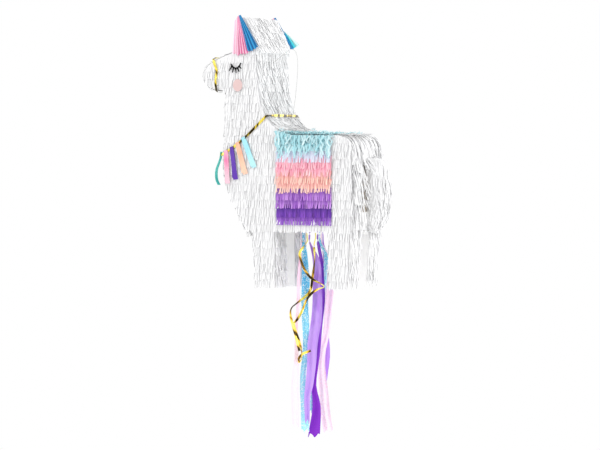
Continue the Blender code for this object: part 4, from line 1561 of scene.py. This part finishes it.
TASSEL_PAPERS = {
    "teal": crepe("teal_crepe", (0.10, 0.62, 0.55), (0.16, 0.70, 0.62), (0.06, 0.52, 0.47)),
    "pink": crepe("pink_crepe", (0.97, 0.46, 0.60), (0.92, 0.20, 0.42), (0.97, 0.56, 0.66)),
    "purple": crepe("purple_crepe", (0.10, 0.03, 0.38), (0.15, 0.05, 0.46), (0.11, 0.03, 0.40)),
    "peach": crepe("peach_crepe", (0.98, 0.55, 0.38), (0.96, 0.42, 0.26), (0.98, 0.60, 0.44)),
    "blue": crepe("blue_crepe", (0.42, 0.80, 0.88), (0.34, 0.72, 0.82), (0.48, 0.84, 0.90)),
}


@dataclass
class Tassels:
    """Folded paper strips that hang from the necklace, each on its own pivot."""

    width: float = 0.0112
    curl: tuple[Point2, ...] = (
        (-0.1290, 0.2725), (-0.1315, 0.2580), (-0.1400, 0.2360), (-0.1400, 0.2180), (-0.1345, 0.2060),
    )

    def build(self) -> None:
        """Five tassels on each side."""
        pivots = {joint["child"]: joint for joint in frame["joints"]}
        for sign in (-1, 1):
            for number, (colour, paper) in enumerate(TASSEL_PAPERS.items()):
                name = f"{side_name(sign)}_{colour}_tassel"
                low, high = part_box(name)
                middle = np.array((low + high) / 2)
                if colour == "teal":
                    mesh = self.curled(name, middle[1])
                else:
                    top = np.array(pivots[name]["pos_m"])
                    mesh = self.folded(name, top, middle, sign, number)
                add_piece(f"{name}_paper", mesh, paper, name, [name])

    def curled(self, name: str, y: float) -> bpy.types.Mesh:
        """A single strip that curls down the front of the chest."""
        line = smooth([(x, at_height(h)) for x, h in self.curl], 6)
        path = np.stack([line[:, 0], np.full(len(line), y), line[:, 1]], axis=1)
        turn = np.linspace(0.05, 0.5, len(path))
        wide = np.stack([np.sin(turn) * 0.5, np.cos(turn), np.zeros(len(path))], axis=1)
        return self.strip(name, path, unit(wide), 0.8)

    def folded(
        self, name: str, top: np.ndarray, middle: np.ndarray, sign: int, number: int
    ) -> bpy.types.Mesh:
        """A strip folded over the ribbon: a front layer and a shorter one behind.

        Args:
            name: of the mesh.
            top: its pivot on the ribbon.
            middle: the middle of its plain solid.
            sign: -1 for the left side, 1 for the right.
            number: the source of its small differences.

        Returns:
            The mesh.
        """
        rng = np.random.default_rng(70 + number)
        down = middle - top
        down[1] = 0
        length = 2 * np.linalg.norm(down)
        down = down / np.linalg.norm(down)
        out = np.array([0, sign, 0.0])
        side = np.cross(down, out)
        t = np.linspace(0, 1, 22)[:, None]
        base = np.array([top[0], middle[1] - sign * 0.0010, top[2]])
        grids = []
        for layer, (share, shift, lean) in enumerate(((0.94, 0.0, 0.02), (1.0, 0.0011, -0.015))):
            waver = 0.0007 * np.sin(t * (5 + layer * 3) + number) * t
            path = base + down * length * share * t + side * (lean * length * t**2) + out * (shift + waver)
            turn = 0.35 * np.sin(t * 3.2 + number * 1.7 + layer)
            wide = side * np.cos(turn) + out * np.sin(turn) * 0.4
            narrow = 0.72 + 0.28 * np.clip(t * 5, 0, 1)
            grids.append(self.grid(path, unit(wide) * narrow, rng.uniform(0.9, 1.0)))
        tip = np.broadcast_to(np.linspace(0, 1, 22)[None, :, None], (2, 22, 9))
        return sheet_mesh(name, np.stack(grids), {"tip": tip})

    def grid(self, path: np.ndarray, wide: np.ndarray, scale: float) -> np.ndarray:
        """Points across a strip that is creased down its length."""
        across = np.linspace(-1, 1, 9)
        normal = unit(np.cross(directions(path), wide))
        crease = 0.0005 * np.cos(across * 8.0)
        grid = path[:, None, :] + wide[:, None, :] * across[None, :, None] * self.width * scale / 2
        return grid + normal[:, None, :] * crease[None, :, None]

    def strip(self, name: str, path: np.ndarray, wide: np.ndarray, scale: float) -> bpy.types.Mesh:
        """One creased strip as a mesh."""
        grid = self.grid(path, wide, scale)
        tip = np.broadcast_to(np.linspace(0, 1, len(path))[:, None], grid.shape[:2])
        return sheet_mesh(name, grid, {"tip": tip})


# ------------------------------------------------------------------------------- hanging loop


@dataclass
class HangingLoop:
    """The thin cord from the nape to the withers, held at the top."""

    diameter: float = 0.0012
    route: tuple[Point2, ...] = (
        (-0.0550, 0.4500),
        (-0.0480, 0.4510),
        (-0.0400, 0.4530),
        (-0.0320, 0.4590),
        (-0.0235, 0.4650),
        (-0.0140, 0.4717),
        (-0.0060, 0.4762),
        (0.0000, 0.4774),
        (0.0055, 0.4745),
        (0.0098, 0.4670),
        (0.0118, 0.4560),
        (0.0122, 0.4420),
        (0.0115, 0.4250),
        (0.0090, 0.4000),
        (0.0060, 0.3760),
        (0.0028, 0.3560),
        (-0.0005, 0.3400),
        (-0.0035, 0.3260),
        (-0.0050, 0.3120),
    )

    def build(self) -> None:
        """The cord as a curve along its route."""
        path = smooth([(x, 0.0, at_height(h)) for x, h in self.route], 5)
        curve = bpy.data.curves.new("cord_loop", "CURVE")
        curve.dimensions = "3D"
        curve.bevel_depth = self.diameter / 2
        curve.bevel_resolution = 3
        curve.use_fill_caps = True
        spline = curve.splines.new("POLY")
        spline.points.add(len(path) - 1)
        spline.points.foreach_set("co", np.hstack([path, np.ones((len(path), 1))]).ravel())
        curve.materials.append(Wardrobe.of(COTTON))
        loop = bpy.data.objects.new("cord_loop", curve)
        bpy.context.scene.collection.objects.link(loop)
        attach(loop, SHELL)
        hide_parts("hanging_cord")
        length = float(along(path)[-1])
        log.info("cord_loop: %.3f m on %s", length, SHELL)


# ------------------------------------------------------------------------------- streamers


@dataclass(frozen=True)
class Streamer:
    """One crepe streamer.

    Args:
        finish: its paper.
        folds: how many times its width is pleated.
        depth: how deep the pleats are.
    """

    finish: Crepe
    folds: float
    depth: float


STREAMERS = {
    "rose": Streamer(
        crepe("rose_crepe", (0.93, 0.62, 0.78), (0.94, 0.72, 0.84), (0.91, 0.74, 0.84)),
        1.0,
        0.0009,
    ),
    "sky": Streamer(
        crepe(
            "sky_crepe", (0.06, 0.42, 0.74), (0.12, 0.52, 0.80), (0.36, 0.80, 0.90),
            share=0.16, tail_start=0.55,
        ),
        1.5,
        0.0012,
    ),
    "lavender": Streamer(
        crepe("lavender_crepe", (0.40, 0.18, 0.72), (0.54, 0.34, 0.84), (0.50, 0.30, 0.80)),
        1.5,
        0.0016,
    ),
    "violet": Streamer(
        crepe("violet_crepe", (0.15, 0.02, 0.46), (0.24, 0.06, 0.58), (0.20, 0.006, 0.50)),
        1.0,
        0.0012,
    ),
    "ice": Streamer(
        crepe("ice_crepe", (0.14, 0.62, 0.84), (0.30, 0.74, 0.90), (0.44, 0.86, 0.94), share=0.30),
        1.5,
        0.0012,
    ),
    "blossom": Streamer(
        crepe(
            "blossom_crepe", (0.93, 0.64, 0.84), (0.96, 0.76, 0.90), (0.97, 0.78, 0.86),
            fleck=(0.98, 0.55, 0.62), share=0.05, tail_start=0.8,
        ),
        1.5,
        0.0016,
    ),
    "plum": Streamer(
        crepe("plum_crepe", (0.36, 0.12, 0.70), (0.52, 0.26, 0.80), (0.44, 0.20, 0.76)),
        1.0,
        0.0010,
    ),
}


@dataclass
class StreamerBunch:
    """The streamers and curling ribbons under the belly, taped to the trap door."""

    body: str = "streamers"
    ribbon: float = 0.005
    routes: dict[str, tuple[tuple[float, float, float], ...]] = field(
        default_factory=lambda: {
            "front": (
                (0.0432, -0.0200, 0.113),
                (0.0437, -0.0203, 0.1075),
                (0.0450, -0.0215, 0.102),
                (0.0468, -0.0250, 0.094),
                (0.049, -0.047, 0.083),
                (0.044, -0.052, 0.071),
                (0.046, -0.049, 0.056),
                (0.050, -0.042, 0.039),
                (0.059, -0.036, 0.024),
                (0.070, -0.029, 0.015),
                (0.078, -0.023, 0.010),
                (0.080, -0.017, 0.004),
                (0.071, -0.023, 0.000),
                (0.061, -0.032, -0.008),
                (0.052, -0.039, -0.023),
                (0.045, -0.043, -0.043),
                (0.040, -0.053, -0.059),
                (0.037, -0.062, -0.068),
                (0.040, -0.059, -0.084),
                (0.043, -0.053, -0.102),
                (0.046, -0.048, -0.120),
                (0.045, -0.045, -0.137),
                (0.042, -0.050, -0.145),
                (0.045, -0.056, -0.136),
                (0.053, -0.052, -0.127),
                (0.063, -0.040, -0.122),
            ),
            "rear": (
                (0.0432, 0.0170, 0.113),
                (0.0437, 0.0165, 0.1075),
                (0.0450, 0.0150, 0.103),
                (0.0465, 0.0095, 0.096),
                (0.0468, 0.0050, 0.088),
                (0.0525, -0.0060, 0.079),
                (0.058, -0.014, 0.062),
                (0.058, -0.018, 0.042),
                (0.057, -0.022, 0.022),
                (0.056, -0.026, 0.002),
                (0.054, -0.034, -0.009),
                (0.050, -0.048, -0.018),
                (0.043, -0.061, -0.027),
                (0.036, -0.070, -0.036),
                (0.034, -0.072, -0.047),
                (0.037, -0.073, -0.060),
                (0.040, -0.071, -0.076),
                (0.044, -0.066, -0.098),
                (0.048, -0.060, -0.122),
            ),
        }
    )

    def ribbons(self) -> None:
        """The two gold curling ribbons, which twist as they hang."""
        for number, (name, route) in enumerate(self.routes.items()):
            path = smooth([(x, y, at_height(h)) for x, y, h in route], 6)
            heading = directions(path)
            flat = unit(np.cross(heading, np.array([0.469, -0.883, 0.0])))
            normal = unit(np.cross(heading, flat))
            run = along(path)
            roll = 0.75 * np.sin(run * 34 + number * 2) + 0.45 * np.sin(run * 75)
            wide = flat * np.cos(roll)[:, None] + normal * np.sin(roll)[:, None]
            free = np.clip((run - 0.032) / 0.014, 0, 1)[:, None]
            wide = unit(np.array([0, 1.0, 0]) * (1 - free) + wide * free)
            title = f"{name}_gold_ribbon"
            piece = add_piece(
                title,
                ribbon_mesh(title, path, wide, self.ribbon),
                CURLED_GOLD,
                self.body,
                [f"{name}_curling_ribbon"],
            )
            route = path.tolist()

    def strips(self) -> None:
        """The crepe streamers, each on the line of its plain solid."""
        for number, (name, streamer) in enumerate(STREAMERS.items()):
            middle, wide = self.line_of(f"{name}_streamer")
            grid = self.creased(middle, wide, streamer, number)
            title = f"{name}_crepe_streamer"
            tip = np.broadcast_to(np.linspace(0, 1, len(grid))[:, None], grid.shape[:2])
            piece = add_piece(
                title,
                sheet_mesh(title, grid, {"tip": tip}),
                streamer.finish,
                self.body,
                [f"{name}_streamer"],
            )
            rows = np.linalg.norm(np.diff(grid, axis=1), axis=2).sum(axis=1)
            length = float(along(middle)[-1])
            area = float(np.sum((rows[1:] + rows[:-1]) / 2 * np.diff(along(middle))))

    def line_of(self, node: str) -> tuple[np.ndarray, np.ndarray]:
        """A plain streamer's middle line and the half width at each point, from its rings of corners."""
        rings: dict[float, set[tuple[float, float]]] = {}
        for vertex in frame["nodes"][node].data.vertices:
            x, y, z = vertex.co
            rings.setdefault(round(z, 4), set()).add((round(x, 5), round(y, 5)))
        middles, halves = [], []
        for z in sorted(rings, reverse=True):
            corners = np.array(sorted(rings[z]))
            centre = corners.mean(axis=0)
            spread = corners - centre
            far = spread[np.argmax(np.linalg.norm(spread, axis=1))]
            if far[0] < 0:
                far = -far
            middles.append((*centre, z))
            halves.append((*far, 0.0))
        runs = np.arange(len(middles))
        fine = np.linspace(0, len(middles) - 1, (len(middles) - 1) * 3 + 1)
        middle = np.stack([np.interp(fine, runs, np.array(middles)[:, i]) for i in range(3)], axis=1)
        half = np.stack([np.interp(fine, runs, np.array(halves)[:, i]) for i in range(3)], axis=1)
        return middle, half

    def creased(self, middle: np.ndarray, half: np.ndarray, streamer: Streamer, number: int) -> np.ndarray:
        """A strip's points: pleated across, wavering along its length, cut ragged at its end.

        Args:
            middle: its middle line.
            half: half its width, as a vector, at each point of the middle line.
            streamer: its pleats and their depth.
            number: the source of its small differences.

        Returns:
            The points, as (rows, columns, 3).
        """
        rng = np.random.default_rng(80 + number)
        across = np.linspace(-1, 1, 13)
        normal = unit(np.cross(unit(half), UP))
        run = along(middle)[:, None]
        phase = rng.uniform(0, math.tau, 4)
        wander = 2.0 * np.sin(run * 14 + phase[1])
        pleat = np.sin(across[None, :] * math.pi * streamer.folds + phase[0] + wander)
        fine = 0.0005 * np.sin(run * 90 + across[None, :] * 2.5 + phase[2])
        ripple = fine + 0.0006 * np.sin(run * 37 + phase[3])
        loose = np.clip(run / 0.03, 0, 1)
        depth = (streamer.depth * pleat + ripple) * loose
        flat = middle[:, None, :] + half[:, None, :] * across[None, :, None]
        grid = flat + normal[:, None, :] * depth[..., None]
        sway = 0.0006 * np.sin(run * 55 + phase[1]) * loose
        grid = grid + unit(half)[:, None, :] * sway[..., None]
        grid[-1, :, 2] += 0.004 * np.sin(across * 5 + phase[2]) + rng.uniform(-0.002, 0.002, len(across))
        return grid

    def build(self) -> None:
        """All the streamers."""
        self.strips()


# ------------------------------------------------------------------------------- card and tape


@dataclass
class CardBox:
    """The box of card, its tapes, and the stickers of the face: solids that keep their shape."""

    lined: tuple[str, ...] = (
        "left_side_panel", "right_side_panel", "face_strip", "ear_strip", "nape_strip", "back_strip",
        "chest_strip", "trap_door",
    )
    papered: tuple[str, ...] = (
        "front_left_leg_box", "front_right_leg_box", "rear_left_leg_box", "rear_right_leg_box", "belly_board",
    )
    bare: tuple[str, ...] = ("rump_strip", "fill_flap", "nape_washer", "withers_washer")
    taped: tuple[str, ...] = ("flap_hinge_tape", "door_seal", "streamer_tape")

    def dress(self) -> None:
        """Gives every solid that shows its finish."""
        finishes: dict[Finish, Iterable[str]] = {
            LINED_CARD: self.lined,
            LINING: self.papered,
            BARE_CARD: self.bare,
            TAPE: self.taped,
            COTTON: ("nape_knot", "withers_knot"),
            BLUSH: ("left_cheek", "right_cheek"),
        }
        for finish, nodes in finishes.items():
            for node in nodes:
                mesh = frame["nodes"][node].data
                mesh.materials.clear()
                mesh.materials.append(Wardrobe.of(finish))
                log.info("%s: %s", node, finish.name)

    def door_tape(self) -> None:
        """The paper tape that the door folds on, from the belly board to the door."""
        low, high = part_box("door_hinge_tape")
        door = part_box("trap_door")[0]
        xs = np.linspace(low.x, door.x + (high.x - low.x), 19)
        ys = np.linspace(low.y, high.y, 31)
        grid = np.zeros((len(xs), len(ys), 3))
        grid[..., 0], grid[..., 1] = xs[:, None], ys[None, :]
        grid[..., 2] = low.z - 0.0001 + 0.00015 * np.sin(ys[None, :] * 400 + xs[:, None] * 300)
        mesh = sheet_mesh("door_fold_tape", grid, {})
        tape = bpy.data.objects.new("door_fold_tape", mesh)
        bpy.context.scene.collection.objects.link(tape)
        mesh.materials.append(Wardrobe.of(TAPE))
        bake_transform(tape)
        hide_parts("door_hinge_tape")


# ------------------------------------------------------------------------------- studio


@dataclass
class Studio:
    """A white room: the camera, the soft lights and the floor."""

    azimuth: float = math.radians(28)
    distance: float = 6.0
    view_width: float = 1.2
    sensor: float = 36.0
    target: tuple[float, float, float] = (0.0173, 0.0, -0.352)
    eye_z: float = -0.202
    floor_z: float = -1.15

    def camera(self) -> None:
        """A long lens at the height of the back, level with the body."""
        data = bpy.data.cameras.new("camera")
        data.sensor_width = self.sensor
        data.lens = self.sensor * self.distance / self.view_width
        data.clip_end = 60
        camera = bpy.data.objects.new("camera", data)
        bpy.context.scene.collection.objects.link(camera)
        away = Vector((math.sin(self.azimuth), -math.cos(self.azimuth), 0)) * self.distance
        camera.location = Vector((self.target[0], self.target[1], self.eye_z)) + away
        look = Vector(self.target) - camera.location
        camera.rotation_euler = look.to_track_quat("-Z", "Y").to_euler()
        bpy.context.scene.camera = camera

    def light(self, name: str, place: tuple[float, float, float], size: float, power: float) -> None:
        """A square soft light aimed at the object.

        Args:
            name: of the light.
            place: where it is.
            size: of its side.
            power: in watts.
        """
        data = bpy.data.lights.new(name, "AREA")
        data.size = size
        data.energy = power
        lamp = bpy.data.objects.new(name, data)
        lamp.location = place
        lamp.rotation_euler = (Vector(self.target) - Vector(place)).to_track_quat("-Z", "Y").to_euler()
        bpy.context.scene.collection.objects.link(lamp)

    def world(self) -> None:
        """Even white from all round."""
        world = bpy.data.worlds.new("white_room")
        world.use_nodes = True
        background = world.node_tree.nodes["Background"]
        Shader(world.node_tree).feed(background, Color=(1, 1, 1, 1), Strength=1.0)
        bpy.context.scene.world = world

    def floor(self) -> None:
        """A wide pale disc below the streamers."""
        count, radius = 96, 2.4
        turns = np.linspace(0, math.tau, count, endpoint=False)
        rim = [(radius * math.cos(a), radius * math.sin(a), self.floor_z) for a in turns]
        mesh = bpy.data.meshes.new("floor")
        mesh.from_pydata(rim, [], [tuple(range(count))])
        floor = bpy.data.objects.new("floor", mesh)
        bpy.context.scene.collection.objects.link(floor)
        material = bpy.data.materials.new("pale_floor")
        material.use_nodes = True
        shader = Shader(material.node_tree)
        principled = material.node_tree.nodes["Principled BSDF"]
        grain = shader.noise(shader.stretched((6, 6, 6)), 1.0, 2.0)
        tint = shader.mix(grain, (0.96, 0.96, 0.96, 1), (0.94, 0.94, 0.945, 1))
        shader.feed(principled, Base_Color=tint, Roughness=0.9)
        mesh.materials.append(material)

    def build(self) -> None:
        """Everything but the camera, which is made first."""
        self.world()
        self.floor()
        self.light("key", (-1.8, -3.0, 1.8), 2.4, 30)
        self.light("fill", (3.0, -0.8, 0.2), 2.4, 32)
        self.light("back", (1.2, 3.0, 1.4), 2.4, 24)
        bpy.context.scene.view_settings.view_transform = "Standard"


# ------------------------------------------------------------------------------- the whole


def calm_places() -> list[Calm]:
    """Where the coat lies flat: under the face's stickers, the ribbons, the tassels and the ear fans."""
    places = [Calm(NECKLACE.line(), 0.005, 0.0030), Calm(HALTER.line(), 0.005, 0.0030)]
    for node, reach in (("left_eye", 0.013), ("left_cheek", 0.013)):
        low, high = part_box(node)
        places.append(Calm(np.array([((low.x + high.x) / 2, (low.z + high.z) / 2)]), reach, 0.0030))
    for colour in ("pink", "purple", "peach", "blue"):
        low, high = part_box(f"left_{colour}_tassel")
        ends = np.array([(low.x, high.z), (high.x, low.z)])
        places.append(Calm(resample(ends, np.linspace(0, along(ends)[-1], 6)), 0.009, 0.0036))
    low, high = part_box("left_ear_fan")
    middle = (low.x + high.x) / 2
    ends = np.array([(middle, low.z + 0.01), (middle, high.z - 0.01)])
    places.append(Calm(resample(ends, np.linspace(0, along(ends)[-1], 6)), 0.030, 0.0030))
    return places


def main() -> None:
    """Builds the pinata, the camera and the cords first."""
    logging.basicConfig(level=logging.INFO, format="%(message)s")
    studio = Studio()
    studio.camera()
    HangingLoop().build()
    bunch = StreamerBunch()
    bunch.ribbons()
    outline = Outline("left_side_panel")
    cloth, flap = SaddleCloth(outline), FillFlap()
    Backing(outline, flap).build()
    coat = Coat(outline, calm_places(), cloth, flap)
    for sign in (-1, 1):
        coat.side_rows(sign)
    coat.edge_coats()
    cloth.build()
    flap.build()
    EarFans().build()
    ClosedEyes().build()
    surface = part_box("right_eye")[0].y
    for girdle in (NECKLACE, HALTER):
        girdle.build(surface, 0.005)
    Tassels().build()
    bunch.build()
    card = CardBox()
    card.dress()
    card.door_tape()
    studio.build()


if __name__ == "__main__":
    main()
